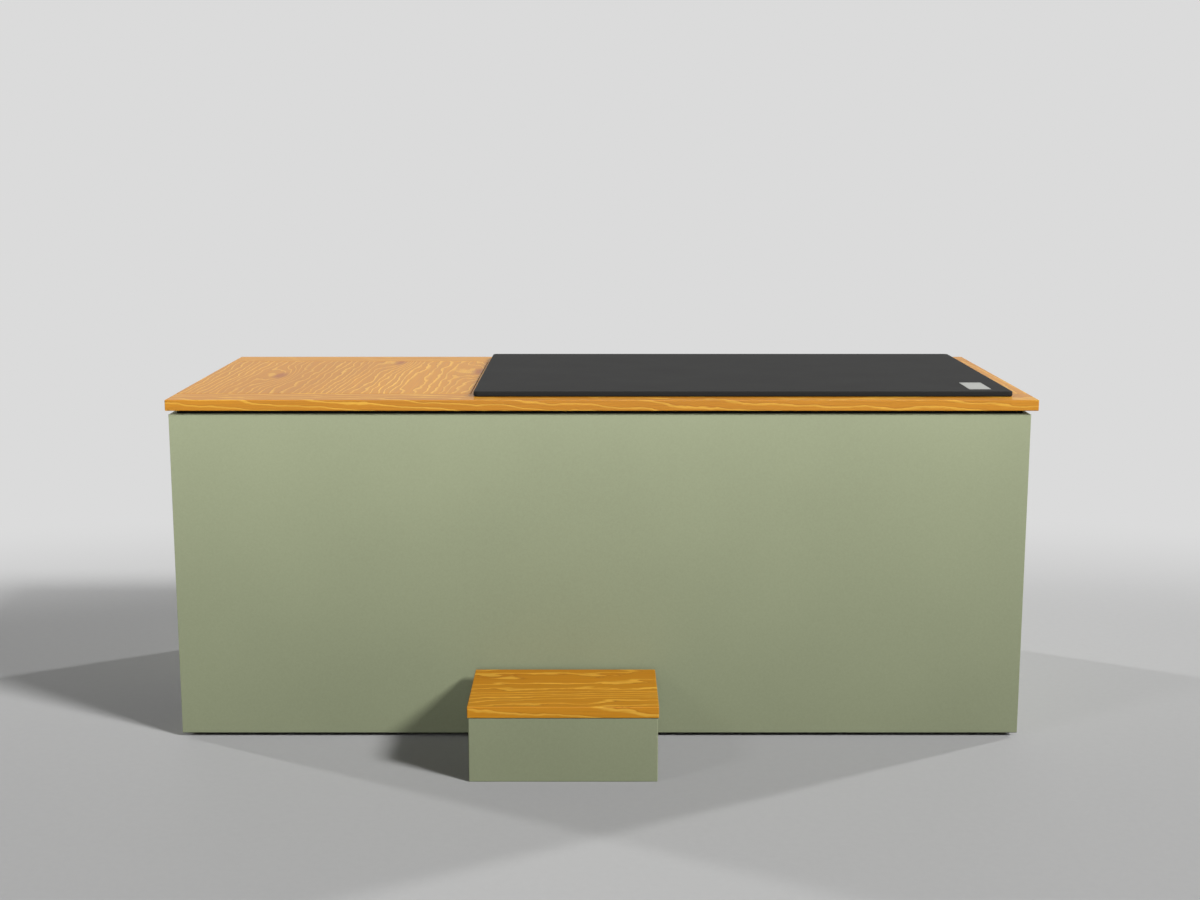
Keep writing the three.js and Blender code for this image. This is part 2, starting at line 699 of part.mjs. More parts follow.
function rectangleRing(rectangle, radius, z) {
  const cornerSteps = 5;
  const { x0, x1, y0, y1 } = rectangle;
  const centres = [
    [x1 - radius, y0 + radius], [x1 - radius, y1 - radius],
    [x0 + radius, y1 - radius], [x0 + radius, y0 + radius],
  ];
  return centres.flatMap(([x, y], corner) => {
    const points = [];
    for (let i = 0; i <= cornerSteps; i += 1) {
      const angle = Math.PI / 2 * (corner - 1 + i / cornerSteps);
      points.push(new THREE.Vector3(x + radius * Math.cos(angle), y + radius * Math.sin(angle), z));
    }
    return points;
  });
}

// The tub's inside at a height, moved outwards by an offset
function tubRing(z, offset) {
  const t = (z - TUB_FLOOR_HEIGHT) / (flangeTop - TUB_FLOOR_HEIGHT);
  const at = (key) => THREE.MathUtils.lerp(tubFloor[key], mouth[key], t);
  const rectangle = {
    x0: at('x0') - offset, x1: at('x1') + offset, y0: at('y0') - offset, y1: at('y1') + offset,
  };
  return rectangleRing(rectangle, THREE.MathUtils.lerp(FLOOR_CORNER, MOUTH_CORNER, t) + offset, z);
}

function lofted(rings) {
  const count = rings[0].length;
  const points = rings.flat();
  const index = [];
  for (let r = 0; r < rings.length - 1; r += 1) {
    for (let i = 0; i < count; i += 1) {
      const a = r * count + i;
      const b = r * count + (i + 1) % count;
      index.push(a, b, a + count, b, b + count, a + count);
    }
  }
  const middle = (ring) => {
    const sum = ring.reduce((total, point) => total.add(point), new THREE.Vector3());
    return sum.divideScalar(count);
  };
  const first = points.push(middle(rings[0])) - 1;
  const last = points.push(middle(rings.at(-1))) - 1;
  const lastRing = (rings.length - 1) * count;
  for (let i = 0; i < count; i += 1) {
    const next = (i + 1) % count;
    index.push(first, next, i, last, lastRing + i, lastRing + next);
  }
  const geometry = new THREE.BufferGeometry().setFromPoints(points);
  geometry.setIndex(index);
  return solid(geometry);
}

function tubShell() {
  const arcSteps = 3;
  const arc = Array.from({ length: arcSteps + 1 }, (_, k) => Math.PI / 2 * k / arcSteps);
  const filletCentre = TUB_FLOOR_HEIGHT + FLOOR_FILLET;
  const outerFillet = FLOOR_FILLET + TUB_WALL;
  const rings = [];
  for (const a of arc.toReversed()) {
    rings.push(tubRing(filletCentre - outerFillet * Math.sin(a), outerFillet * Math.cos(a) - FLOOR_FILLET));
  }
  rings.push(tubRing(flangeBottom - LIP_RADIUS, TUB_WALL));
  rings.push(tubRing(flangeBottom, TUB_WALL + LIP_RADIUS));
  rings.push(rectangleRing(flange, FLANGE_CORNER, flangeBottom));
  rings.push(rectangleRing(flange, FLANGE_CORNER, flangeTop));
  for (const a of arc) {
    rings.push(tubRing(flangeTop - LIP_RADIUS * (1 - Math.cos(a)), LIP_RADIUS * (1 - Math.sin(a))));
  }
  for (const a of arc) {
    rings.push(tubRing(filletCentre - FLOOR_FILLET * Math.sin(a), FLOOR_FILLET * (Math.cos(a) - 1)));
  }
  const bore = clearing(BARREL_RADIUS, SMALL_SIDES);
  const holes = [suctionAt, returnAt, drainAt].map(
    ({ y, z }) => rod(bore, mouth.x0 - 3 * TUB_WALL, mouth.x0 + TUB_WALL, X_AXIS, [0, y, z]),
  );
  piece('tub_shell', cut(lofted(rings), ...holes), ACRYLIC);
}

// Sprayed foam under the tub, along both long sides and behind the sloped backrest
function foamJacket() {
  const x0 = bulkheadRight + FIT;
  const y0 = innerFront + SHEET + FIT;
  const y1 = innerBack - SHEET - FIT;
  const floorTop = TUB_FLOOR_HEIGHT - TUB_WALL - FIT;
  const sideTop = ledgerBottom - FIT;
  const floor = box(x0, innerRight, y0, y1, bayFloor, floorTop);
  const frontSide = box(x0, innerRight, y0, mouth.y0 - TUB_WALL - FOAM_MARGIN, bayFloor, sideTop);
  const backSide = box(x0, innerRight, mouth.y1 + TUB_WALL + FOAM_MARGIN, y1, bayFloor, sideTop);
  const clear = TUB_WALL + FOAM_MARGIN;
  const wedge = outline([
    [innerRight, bayFloor], [innerRight, sideTop],
    [mouth.x1 + clear, sideTop], [tubFloor.x1 + clear, floorTop], [tubFloor.x1, bayFloor],
  ]);
  piece('foam_jacket', joined(floor, frontSide, backSide, alongY(wedge, y0, y1)), INSULATION);
}

// Board between the bay and the tub, with holes for the three fittings
function bulkhead() {
  const shoulder = bodyTop - SHEET - FIT;
  const crown = woodBottom - FIT;
  const neckFront = TOP_RETURN + FIT;
  const neckBack = BODY_DEPTH - TOP_RETURN - FIT;
  const section = outline([
    [innerFront, bayFloor], [innerBack, bayFloor], [innerBack, shoulder], [neckBack, shoulder],
    [neckBack, crown], [neckFront, crown], [neckFront, shoulder], [innerFront, shoulder],
  ]);
  const bore = clearing(BARREL_RADIUS, SMALL_SIDES);
  for (const { y, z } of [suctionAt, returnAt, drainAt]) {
    section.holes.push(circle(bore, SMALL_SIDES, y, z));
  }
  piece('bulkhead', alongX(section, bulkheadLeft, bulkheadRight), PLY);
}

// The part of every fitting behind the tub wall: a barrel through wall and bulkhead, then a spigot
const barrelEnd = bulkheadLeft - FIT - mouth.x0;
const fittingEnd = spigotEnd - mouth.x0;
const barrelProfile = [
  [BARREL_RADIUS, FIT], [BARREL_RADIUS, barrelEnd], [SPIGOT_RADIUS, barrelEnd],
  [SPIGOT_RADIUS, fittingEnd], [SPIGOT_BORE, fittingEnd],
];

function suctionFitting() {
  const crown = 3 * FITTING_FLANGE;
  const skin = FITTING_FLANGE / 2;
  const shoulder = 0.6 * SUCTION_RADIUS;
  const profile = [
    [0, crown], [shoulder, crown - SUCTION_DOME], [SUCTION_RADIUS, FITTING_FLANGE], [SUCTION_RADIUS, FIT],
    ...barrelProfile,
    [SPIGOT_BORE, skin], [0.8 * SUCTION_RADIUS, skin + FIT], [shoulder, crown - SUCTION_DOME - skin],
    [0, crown - skin],
  ];
  const slots = [];
  for (let i = 0; i < SUCTION_SLOTS; i += 1) {
    const angle = 2 * Math.PI * i / SUCTION_SLOTS;
    const reach = 0.45 * SUCTION_RADIUS;
    const centre = [0, reach * Math.cos(angle), reach * Math.sin(angle)];
    slots.push(rod(0.13 * SUCTION_RADIUS, crown - 3 * skin, crown + OVERCUT, X_AXIS, centre, 6));
  }
  const fitting = piece('suction_fitting', cut(spun(profile, X_AXIS), ...slots), WHITE_PLASTIC);
  fitting.position.set(mouth.x0, suctionAt.y, suctionAt.z);
}

// Return fitting: a socket in the wall that holds the eyeball behind a coned lip
function returnFitting() {
  const front = FIT + FITTING_FLANGE;
  const socket = EYEBALL_RADIUS + 2 * FIT;
  const lip = Math.sqrt(EYEBALL_RADIUS ** 2 - front ** 2) + 2 * FIT;
  const seat = -EYEBALL_RADIUS / 3;
  const profile = [
    [lip, front], [RETURN_RADIUS - FITTING_EASE, front],
    [RETURN_RADIUS, front - FITTING_EASE], [RETURN_RADIUS, FIT],
    ...barrelProfile,
    [SPIGOT_BORE, -EYEBALL_RADIUS], [socket, seat], [socket, 1], [lip, front],
  ];
  const fitting = piece('return_fitting', spun(profile, X_AXIS), WHITE_PLASTIC);
  fitting.position.set(mouth.x0, returnAt.y, returnAt.z);
}

function returnEyeball() {
  const nozzle = EYEBALL_BORE + NOZZLE_WALL;
  const steps = 7;
  const from = Math.asin(-Math.sqrt(1 - (EYEBALL_BORE / EYEBALL_RADIUS) ** 2));
  const to = Math.acos(nozzle / EYEBALL_RADIUS);
  const tip = EYEBALL_RADIUS + NOZZLE_OUT;
  const profile = [];
  for (let i = 0; i <= steps; i += 1) {
    const angle = THREE.MathUtils.lerp(from, to, i / steps);
    profile.push([EYEBALL_RADIUS * Math.cos(angle), EYEBALL_RADIUS * Math.sin(angle)]);
  }
  profile.push([nozzle, tip], [EYEBALL_BORE, tip], profile[0]);
  const ball = piece('return_eyeball', spun(profile, X_AXIS), WHITE_PLASTIC);
  ball.position.set(mouth.x0, returnAt.y, returnAt.z);
}

function drainFitting() {
  const front = FIT + FITTING_FLANGE;
  const profile = [
    [SPIGOT_BORE, front - FITTING_EASE], [BARREL_RADIUS, front], [DRAIN_RADIUS - FITTING_EASE, front],
    [DRAIN_RADIUS, front - FITTING_EASE], [DRAIN_RADIUS, FIT],
    ...barrelProfile,
    [SPIGOT_BORE, front - FITTING_EASE],
  ];
  const fitting = piece('drain_fitting', spun(profile, X_AXIS), WHITE_PLASTIC);
  fitting.position.set(mouth.x0, drainAt.y, drainAt.z);
}

// Louvred air grille, made facing -Y with the panel's outer face at y = 0
function grille(width, height) {
  const rim = GRILLE_RIM;
  const w = width / 2;
  const h = height / 2;
  const plateW = w + GRILLE_FLANGE;
  const plateH = h + GRILLE_FLANGE;
  const plate = roundedRectangle(-plateW, plateW, -plateH, plateH, GRILLE_CORNER);
  const rimOut = [w - FIT, h - FIT];
  const rimIn = [w - FIT - rim, h - FIT - rim];
  const frame = joined(
    alongY(plate, -FIT - GRILLE_PLATE, -FIT),
    box(-rimOut[0], rimOut[0], -FIT - GRILLE_PLATE / 2, GRILLE_DEPTH, -rimOut[1], rimOut[1]),
  );
  const window = box(-rimIn[0], rimIn[0], -2 * GRILLE_DEPTH, 2 * GRILLE_DEPTH, -rimIn[1], rimIn[1]);
  const slats = [];
  const count = Math.floor(2 * rimIn[1] / LOUVRE_PITCH);
  for (let i = 0; i < count; i += 1) {
    const slat = new THREE.BoxGeometry(2 * w - rim, LOUVRE_WIDTH, LOUVRE_THICKNESS);
    slat.rotateX(THREE.MathUtils.degToRad(LOUVRE_ANGLE));
    slat.translate(0, GRILLE_DEPTH / 2, LOUVRE_PITCH * (i - (count - 1) / 2));
    slats.push(solid(slat));
  }
  return joined(cut(frame, window), ...slats);
}

function grilles() {
  const intake = piece('intake_grille', grille(INTAKE_WIDTH, INTAKE_HEIGHT), BLACK_PLASTIC);
  intake.position.set(bodyLeft, fanY, fanZ);
  intake.rotation.z = -Math.PI / 2;
  const exhaust = piece('exhaust_grille', grille(EXHAUST_WIDTH, EXHAUST_HEIGHT), BLACK_PLASTIC);
  exhaust.position.set(exhaustX, BODY_DEPTH, exhaustZ);
  exhaust.rotation.z = Math.PI;
}

// Chiller, built up on a folded tray
const trayX0 = innerLeft + TRAY_INSET_X;
const trayX1 = trayX0 + TRAY_LENGTH;
const trayY0 = TRAY_INSET_Y;
const trayY1 = TRAY_INSET_Y + TRAY_DEPTH;
const coreX = condenserX + (FIN_DEPTH + CONDENSER_THICKNESS) / 2;
const condenserTop = trayTop + CONDENSER_HEIGHT;
const headerInset = 40;
const shroudX0 = condenserX + CONDENSER_THICKNESS + FIT;
const shroudX1 = shroudX0 + SHROUD_DEPTH;
const ringX0 = shroudX1 - SHEET - SHROUD_RING_OVERLAP;
const ringX1 = ringX0 + SHROUD_RING_DEPTH;
const fanX = ringX0 + FAN_DEPTH / 2 + OVERCUT;
const fanMotorX = ringX1 - SPIDER_ARM;
const compressorX = trayX1 - COMPRESSOR_RADIUS - COMPRESSOR_MARGIN[0];
const compressorY = trayY0 + COMPRESSOR_RADIUS + COMPRESSOR_MARGIN[1];
const evaporatorX = compressorX;
const evaporatorY = trayY1 - EVAPORATOR_RADIUS - EVAPORATOR_INSET;
const compressorStub = 30;
const evaporatorStub = 20;

function chillerTray() {
  const z0 = bayFloor;
  const z1 = z0 + TRAY_EDGE;
  const section = outline([
    [trayY0, z1], [trayY0, z0], [trayY1, z0], [trayY1, z1],
    [trayY1 - SHEET, z1], [trayY1 - SHEET, z0 + SHEET], [trayY0 + SHEET, z0 + SHEET], [trayY0 + SHEET, z1],
  ]);
  piece('chiller_tray', alongX(section, trayX0, trayX1), GALVANISED);
}

// Condenser: a core with upright fins on the side that faces the intake
function condenser() {
  const pitch = CONDENSER_WIDTH / FIN_COUNT;
  const finRoot = condenserX + FIN_DEPTH;
  const back = condenserX + CONDENSER_THICKNESS;
  const points = [[back, condenserY + CONDENSER_WIDTH], [back, condenserY]];
  for (let i = 0; i < FIN_COUNT; i += 1) {
    const y0 = condenserY + i * pitch + (i === 0 ? 0 : (pitch - FIN_THICKNESS) / 2);
    const y1 = condenserY + i * pitch + (i === FIN_COUNT - 1 ? pitch : (pitch + FIN_THICKNESS) / 2);
    if (i > 0) points.push([finRoot, y0]);
    points.push([condenserX, y0], [condenserX, y1]);
    if (i < FIN_COUNT - 1) points.push([finRoot, y1]);
  }
  const core = alongZ(outline(points), trayTop, condenserTop);
  const headers = [condenserY + headerInset, condenserY + CONDENSER_WIDTH - headerInset].map(
    (y) => rod(STUB_RADIUS, condenserTop - STUB_LENGTH, condenserTop + STUB_LENGTH, Z_AXIS, [coreX, y, 0]),
  );
  piece('condenser', joined(core, ...headers), ALUMINIUM);
}

// Fan shroud: a cowl on the condenser with a ring round the blades and a spider for the motor
function fanShroud() {
  const y0 = condenserY;
  const y1 = condenserY + CONDENSER_WIDTH;
  const bore = FAN_RADIUS + FAN_TIP_GAP;
  const ringWall = SHROUD_RING_WALL;
  const cowl = cut(
    box(shroudX0, shroudX1, y0, y1, trayTop, condenserTop),
    box(shroudX0 - OVERCUT, shroudX1 - SHEET, y0 + SHEET, y1 - SHEET, trayTop + SHEET, condenserTop - SHEET),
    rod(bore, shroudX0, shroudX1 + OVERCUT, X_AXIS, [0, fanY, fanZ], FAN_SIDES),
  );
  const ringProfile = [
    [bore, ringX0], [bore + ringWall, ringX0], [bore + ringWall, ringX1], [bore, ringX1], [bore, ringX0],
  ];
  const ring = spun(ringProfile, X_AXIS, [0, fanY, fanZ], FAN_SIDES);
  const reach = bore + ringWall / 2;
  const half = SPIDER_ARM / 2;
  const levelArm = box(fanMotorX, ringX1, fanY - reach, fanY + reach, fanZ - half, fanZ + half);
  const uprightArm = box(fanMotorX, ringX1, fanY - half, fanY + half, fanZ - reach, fanZ + reach);
  const motorEnd = fanMotorX + FAN_MOTOR_LENGTH;
  const motor = spun([
    [0, fanMotorX], [FAN_MOTOR_RADIUS, fanMotorX], [FAN_MOTOR_RADIUS, motorEnd - FAN_MOTOR_EASE],
    [FAN_MOTOR_RADIUS - FAN_MOTOR_EASE, motorEnd], [0, motorEnd],
  ], X_AXIS, [0, fanY, fanZ]);
  piece('fan_shroud', joined(cowl, ring, levelArm, uprightArm, motor), BLACK_PAINT);
}

// One twisted and cambered blade, from inside the hub to the tip
function fanBlade(turn) {
  const stations = 4;
  const chordSteps = 3;
  const rings = [];
  for (let s = 0; s < stations; s += 1) {
    const t = s / (stations - 1);
    const radius = THREE.MathUtils.lerp(FAN_HUB_RADIUS - BLADE_ROOT, FAN_RADIUS, t);
    const chord = THREE.MathUtils.lerp(...BLADE_CHORD, t) * FAN_RADIUS;
    const pitch = THREE.MathUtils.degToRad(THREE.MathUtils.lerp(...BLADE_PITCH, t));
    const upper = [];
    const lower = [];
    for (let k = 0; k <= chordSteps; k += 1) {
      const along = k / chordSteps - 0.5;
      const angle = turn + along * chord * Math.cos(pitch) / radius;
      const camber = BLADE_CAMBER * chord * (0.25 - along * along);
      const x = along * chord * Math.sin(pitch) - camber;
      const [y, z] = [radius * Math.cos(angle), radius * Math.sin(angle)];
      upper.push(new THREE.Vector3(x - BLADE_SKIN, y, z));
      lower.unshift(new THREE.Vector3(x + BLADE_SKIN, y, z));
    }
    rings.push([...upper, ...lower]);
  }
  return lofted(rings);
}

function fanRotor() {
  const half = FAN_DEPTH / 2;
  const [easeIn, easeBack] = FAN_HUB_EASE;
  const hub = spun([
    [0, -half], [FAN_HUB_RADIUS - easeIn, -half], [FAN_HUB_RADIUS, easeBack - half],
    [FAN_HUB_RADIUS, half], [0, half],
  ], X_AXIS);
  const shaft = rod(FAN_SHAFT_RADIUS, 0, fanMotorX - FIT - fanX, X_AXIS);
  const blades = [];
  for (let i = 0; i < FAN_BLADES; i += 1) {
    blades.push(fanBlade(2 * Math.PI * i / FAN_BLADES));
  }
  const rotor = piece('fan_rotor', joined(hub, shaft, ...blades), BLACK_PLASTIC);
  rotor.position.set(fanX, fanY, fanZ);
}

// A pressure vessel's profile: a flat foot, a round body and a domed top
function vesselProfile(radius, height, dome) {
  const foot = radius - VESSEL_FOOT_INSET;
  const points = [[0, 0], [foot, 0], [foot, VESSEL_FOOT_HEIGHT], [radius, VESSEL_SHOULDER]];
  const steps = 4;
  for (let i = 0; i <= steps; i += 1) {
    const angle = Math.PI / 2 * i / steps;
    points.push([radius * Math.cos(angle), height - dome + dome * Math.sin(angle)]);
  }
  points.at(-1)[0] = 0;
  return points;
}

function compressor() {
  const weld = COMPRESSOR_HEIGHT * SEAM_SHARE;
  const can = spun(vesselProfile(COMPRESSOR_RADIUS, COMPRESSOR_HEIGHT, COMPRESSOR_DOME), Z_AXIS);
  const seam = rod(COMPRESSOR_RADIUS + SEAM_OUT, weld, weld + SEAM_HEIGHT, Z_AXIS, [0, 0, 0], ROUND_SIDES);
  const top = COMPRESSOR_HEIGHT + STUB_LENGTH;
  const stubs = [-compressorStub, compressorStub].map(
    (x) => rod(STUB_RADIUS, COMPRESSOR_HEIGHT / 2, top, Z_AXIS, [x, 0, 0]),
  );
  const pot = piece('compressor', joined(can, seam, ...stubs), BLACK_PAINT);
  pot.position.set(compressorX, compressorY, trayTop);
}

function evaporator() {
  const barrel = spun(vesselProfile(EVAPORATOR_RADIUS, EVAPORATOR_HEIGHT, EVAPORATOR_DOME), Z_AXIS);
  const top = EVAPORATOR_HEIGHT + STUB_LENGTH;
  const stubs = [-evaporatorStub, evaporatorStub].map(
    (x) => rod(STUB_RADIUS, EVAPORATOR_HEIGHT / 2, top, Z_AXIS, [x, 0, 0]),
  );
  const rises = [EVAPORATOR_IN_RISE, EVAPORATOR_OUT_RISE];
  const end = EVAPORATOR_RADIUS + SPIGOT_LENGTH;
  const spigots = rises.map((z) => rod(SPIGOT_RADIUS, 0, end, X_AXIS, [0, 0, z]));
  const bores = rises.map((z) => rod(SPIGOT_BORE, EVAPORATOR_RADIUS, end + OVERCUT, X_AXIS, [0, 0, z]));
  const exchanger = piece('evaporator', cut(joined(barrel, ...stubs, ...spigots), ...bores), INSULATION);
  exchanger.position.set(evaporatorX, evaporatorY, trayTop);
}

function refrigerantPipes() {
  const high = condenserTop + PIPE_RISE;
  const low = trayTop + EVAPORATOR_HEIGHT + STUB_LENGTH + PIPE_RISE;
  const end = STUB_LENGTH + FIT;
  const compressorTop = trayTop + COMPRESSOR_HEIGHT + end;
  const evaporatorTop = trayTop + EVAPORATOR_HEIGHT + end;
  const headerTop = condenserTop + end;
  const bend = (from, to, level) => {
    const points = [from, [from[0], from[1], level], [to[0], to[1], level], to];
    return tube(points, PIPE_RADIUS, 0, PIPE_BEND, PIPE_SIDES, PIPE_STEPS);
  };
  const discharge = [compressorX - compressorStub, compressorY, compressorTop];
  const intake = [compressorX + compressorStub, compressorY, compressorTop];
  const hotHeader = [coreX, condenserY + headerInset, headerTop];
  const coolHeader = [coreX, condenserY + CONDENSER_WIDTH - headerInset, headerTop];
  const liquidIn = [evaporatorX - evaporatorStub, evaporatorY, evaporatorTop];
  const gasOut = [evaporatorX + evaporatorStub, evaporatorY, evaporatorTop];
  piece('hot_gas_pipe', bend(discharge, hotHeader, high), COPPER);
  piece('liquid_pipe', bend(coolHeader, liquidIn, high), COPPER);
  piece('suction_gas_pipe', bend(gasOut, intake, low), COPPER);
}

function controlBox() {
  const x1 = bulkheadLeft - FIT;
  const x0 = x1 - CONTROL_BOX_DEPTH;
  const y0 = CONTROL_BOX_Y;
  const y1 = y0 + CONTROL_BOX_WIDTH;
  const z0 = bayFloor + CONTROL_BOX_RISE;
  const z1 = z0 + CONTROL_BOX_HEIGHT;
  const e = CONTROL_INSET;
  const joint = x0 + CONTROL_LID;
  const base = alongX(roundedRectangle(y0 + e, y1 - e, z0 + e, z1 - e, CONTROL_CORNER), joint, x1);
  const lid = alongX(roundedRectangle(y0, y1, z0, z1, CONTROL_LID_CORNER), x0, joint);
  piece('control_box', joined(base, lid), WHITE_PLASTIC);
}

// Mains inlet and its rocker switch, in one module on the rear panel
function powerInlet() {
  const face = BODY_DEPTH + FIT + INLET_PLATE;
  const half = INLET_SIZE / 2;
  const bodyHalf = INLET_BODY / 2;
  const plateFace = roundedRectangle(
    inletX - half, inletX + half, inletZ - half, inletZ + half, INLET_CORNER,
  );
  const plate = alongY(plateFace, BODY_DEPTH + FIT, face);
  const body = box(
    inletX - bodyHalf, inletX + bodyHalf, face - INLET_BODY_DEPTH, face - OVERCUT,
    inletZ - bodyHalf, inletZ + bodyHalf,
  );
  const socketX = inletX - SOCKET_OFFSET;
  const socketFloor = face - SOCKET_DEPTH;
  const [socketW, socketH] = [SOCKET_WIDTH / 2, SOCKET_HEIGHT / 2];
  const socketFace = roundedRectangle(
    socketX - socketW, socketX + socketW, inletZ - socketH, inletZ + socketH, SOCKET_CORNER,
  );
  const socket = alongY(socketFace, socketFloor, face + OVERCUT);
  const [pinW, pinT] = [PIN_WIDTH / 2, PIN_THICKNESS / 2];
  const pinY = [socketFloor - OVERCUT, face - PIN_SETBACK];
  const pins = [-PIN_PITCH, 0, PIN_PITCH].map(
    (z) => box(socketX - pinW, socketX + pinW, ...pinY, inletZ + z - pinT, inletZ + z + pinT),
  );
  const rockerX = inletX + ROCKER_OFFSET;
  const slotHalf = ROCKER_WIDTH / 2 + FIT;
  const slotReach = ROCKER_HEIGHT / 2 + ROCKER_SLOT_MARGIN;
  const slot = box(
    rockerX - slotHalf, rockerX + slotHalf, face - ROCKER_SLOT_DEPTH, face + OVERCUT,
    inletZ - slotReach, inletZ + slotReach,
  );
  piece('power_inlet', joined(cut(joined(plate, body), socket, slot), ...pins), BLACK_PLASTIC);
  const r = ROCKER_HEIGHT / 2;
  const keel = ROCKER_KEEL_HEIGHT / 2;
  const section = outline([
    [-ROCKER_KEEL, -keel], [0, -r], [ROCKER_CREST, -r], [ROCKER_DIP, 0],
    [ROCKER_CREST, r], [0, r], [-ROCKER_KEEL, keel],
  ]);
  const pivot = new THREE.Group();
  pivot.position.set(rockerX, face - ROCKER_PIVOT_DEPTH, inletZ);
  pivot.rotation.x = THREE.MathUtils.degToRad(-ROCKER_TILT);
  coldPlunge.add(pivot);
  piece('power_switch', alongX(section, -ROCKER_WIDTH / 2, ROCKER_WIDTH / 2), RED_GRIP, pivot);
}

// Water circuit: tub, pump, filter, chiller and back to the tub, with a gravity drain

const pumpZ = bayFloor + PUMP_AXIS_RISE;
const pumpInletEnd = bulkheadLeft - PUMP_STANDOFF;
const voluteX1 = pumpInletEnd - SPIGOT_LENGTH;
const voluteX0 = voluteX1 - VOLUTE_WIDTH;
const pumpOutlet = {
  x: (voluteX0 + voluteX1) / 2,
  y: suctionAt.y - VOLUTE_RADIUS + SPIGOT_RADIUS + PUMP_OUTLET_INSET,
  z: pumpZ + VOLUTE_RADIUS + SPIGOT_LENGTH,
};
const canisterX = bulkheadLeft - CANISTER_GAP - CANISTER_RADIUS;
const canisterInZ = bayFloor + CANISTER_IN_RISE;
const evaporatorInZ = trayTop + EVAPORATOR_IN_RISE;
const evaporatorOutZ = trayTop + EVAPORATOR_OUT_RISE;
const evaporatorPort = evaporatorX + EVAPORATOR_RADIUS + SPIGOT_LENGTH;
const portReach = CANISTER_RADIUS + SPIGOT_LENGTH;
const valveFlangeY = innerBack;
const valveBodyY = valveFlangeY - VALVE_BODY_LENGTH;
const valveSpigotY = valveBodyY - SPIGOT_LENGTH;
const leverRise = VALVE_BODY_RADIUS + VALVE_STEM_OUT;

function pump() {
  const motorX0 = voluteX0 - PUMP_MOTOR_LENGTH;
  const centre = [0, suctionAt.y, pumpZ];
  const volute = rod(VOLUTE_RADIUS, voluteX0, voluteX1, X_AXIS, centre, ROUND_SIDES);
  const ease = PUMP_MOTOR_EASE;
  const motorProfile = [
    [0, motorX0], [PUMP_MOTOR_RADIUS - ease, motorX0], [PUMP_MOTOR_RADIUS, motorX0 + ease],
  ];
  const ribPitch = (PUMP_MOTOR_LENGTH - 2 * ease) / PUMP_RIBS;
  for (let i = 0; i < PUMP_RIBS; i += 1) {
    const x = motorX0 + ease + i * ribPitch;
    const groove = PUMP_MOTOR_RADIUS - PUMP_RIB_DEPTH;
    motorProfile.push(
      [PUMP_MOTOR_RADIUS, x + ribPitch / 2], [groove, x + ribPitch / 2],
      [groove, x + ribPitch], [PUMP_MOTOR_RADIUS, x + ribPitch],
    );
  }
  motorProfile.push([PUMP_MOTOR_RADIUS, voluteX0 + OVERCUT], [0, voluteX0 + OVERCUT]);
  const motor = spun(motorProfile, X_AXIS, centre);
  const inlet = rod(SPIGOT_RADIUS, voluteX1 - OVERCUT, pumpInletEnd, X_AXIS, centre);
  const outletAt = [pumpOutlet.x, pumpOutlet.y, 0];
  const outlet = rod(SPIGOT_RADIUS, pumpZ, pumpOutlet.z, Z_AXIS, outletAt);
  const footHalf = PUMP_MOTOR_RADIUS - PUMP_FOOT_HEIGHT;
  const stemHalf = PUMP_MOTOR_RADIUS / 3;
  const footX = [motorX0 + PUMP_FOOT_INSET[0], voluteX0 - PUMP_FOOT_INSET[1]];
  const footTop = bayFloor + PUMP_FOOT_HEIGHT;
  const foot = box(...footX, suctionAt.y - footHalf, suctionAt.y + footHalf, bayFloor, footTop);
  const stem = box(...footX, suctionAt.y - stemHalf, suctionAt.y + stemHalf, bayFloor + OVERCUT, pumpZ);
  const whole = joined(volute, motor, inlet, outlet, foot, stem);
  const inletBore = rod(SPIGOT_BORE, voluteX1, pumpInletEnd + OVERCUT, X_AXIS, centre);
  const outletBore = rod(SPIGOT_BORE, pumpZ + VOLUTE_RADIUS, pumpOutlet.z + OVERCUT, Z_AXIS, outletAt);
  piece('pump', cut(whole, inletBore, outletBore), BLACK_PLASTIC);
}

function filterCanister() {
  const inner = CANISTER_RADIUS - CANISTER_WALL;
  const rim = CANISTER_RADIUS + CANISTER_RIM;
  const rimBottom = CANISTER_HEIGHT - CANISTER_RIM_HEIGHT;
  const [easeIn, easeUp] = CANISTER_FOOT_EASE;
  const cup = spun([
    [0, 0], [CANISTER_RADIUS - easeIn, 0], [CANISTER_RADIUS, easeUp],
    [CANISTER_RADIUS, rimBottom - CANISTER_RIM],
    [rim, rimBottom], [rim, CANISTER_HEIGHT], [inner, CANISTER_HEIGHT], [inner, CANISTER_WALL],
    [0, CANISTER_WALL],
  ], Z_AXIS);
  const inAt = [0, 0, canisterInZ - bayFloor];
  const outAt = [0, 0, evaporatorInZ - bayFloor];
  const inSpigot = rod(SPIGOT_RADIUS, CANISTER_RADIUS - PORT_OVERLAP, portReach, Y_AXIS, inAt);
  const outSpigot = rod(SPIGOT_RADIUS, -portReach, PORT_OVERLAP - CANISTER_RADIUS, X_AXIS, outAt);
  const inBore = rod(SPIGOT_BORE, inner - CANISTER_WALL, portReach + OVERCUT, Y_AXIS, inAt);
  const outBore = rod(SPIGOT_BORE, -portReach - OVERCUT, CANISTER_WALL - inner, X_AXIS, outAt);
  const vessel = cut(joined(cup, inSpigot, outSpigot), inBore, outBore);
  const canister = piece('filter_canister', vessel, BLACK_PLASTIC);
  canister.position.set(canisterX, CANISTER_Y, bayFloor);
}

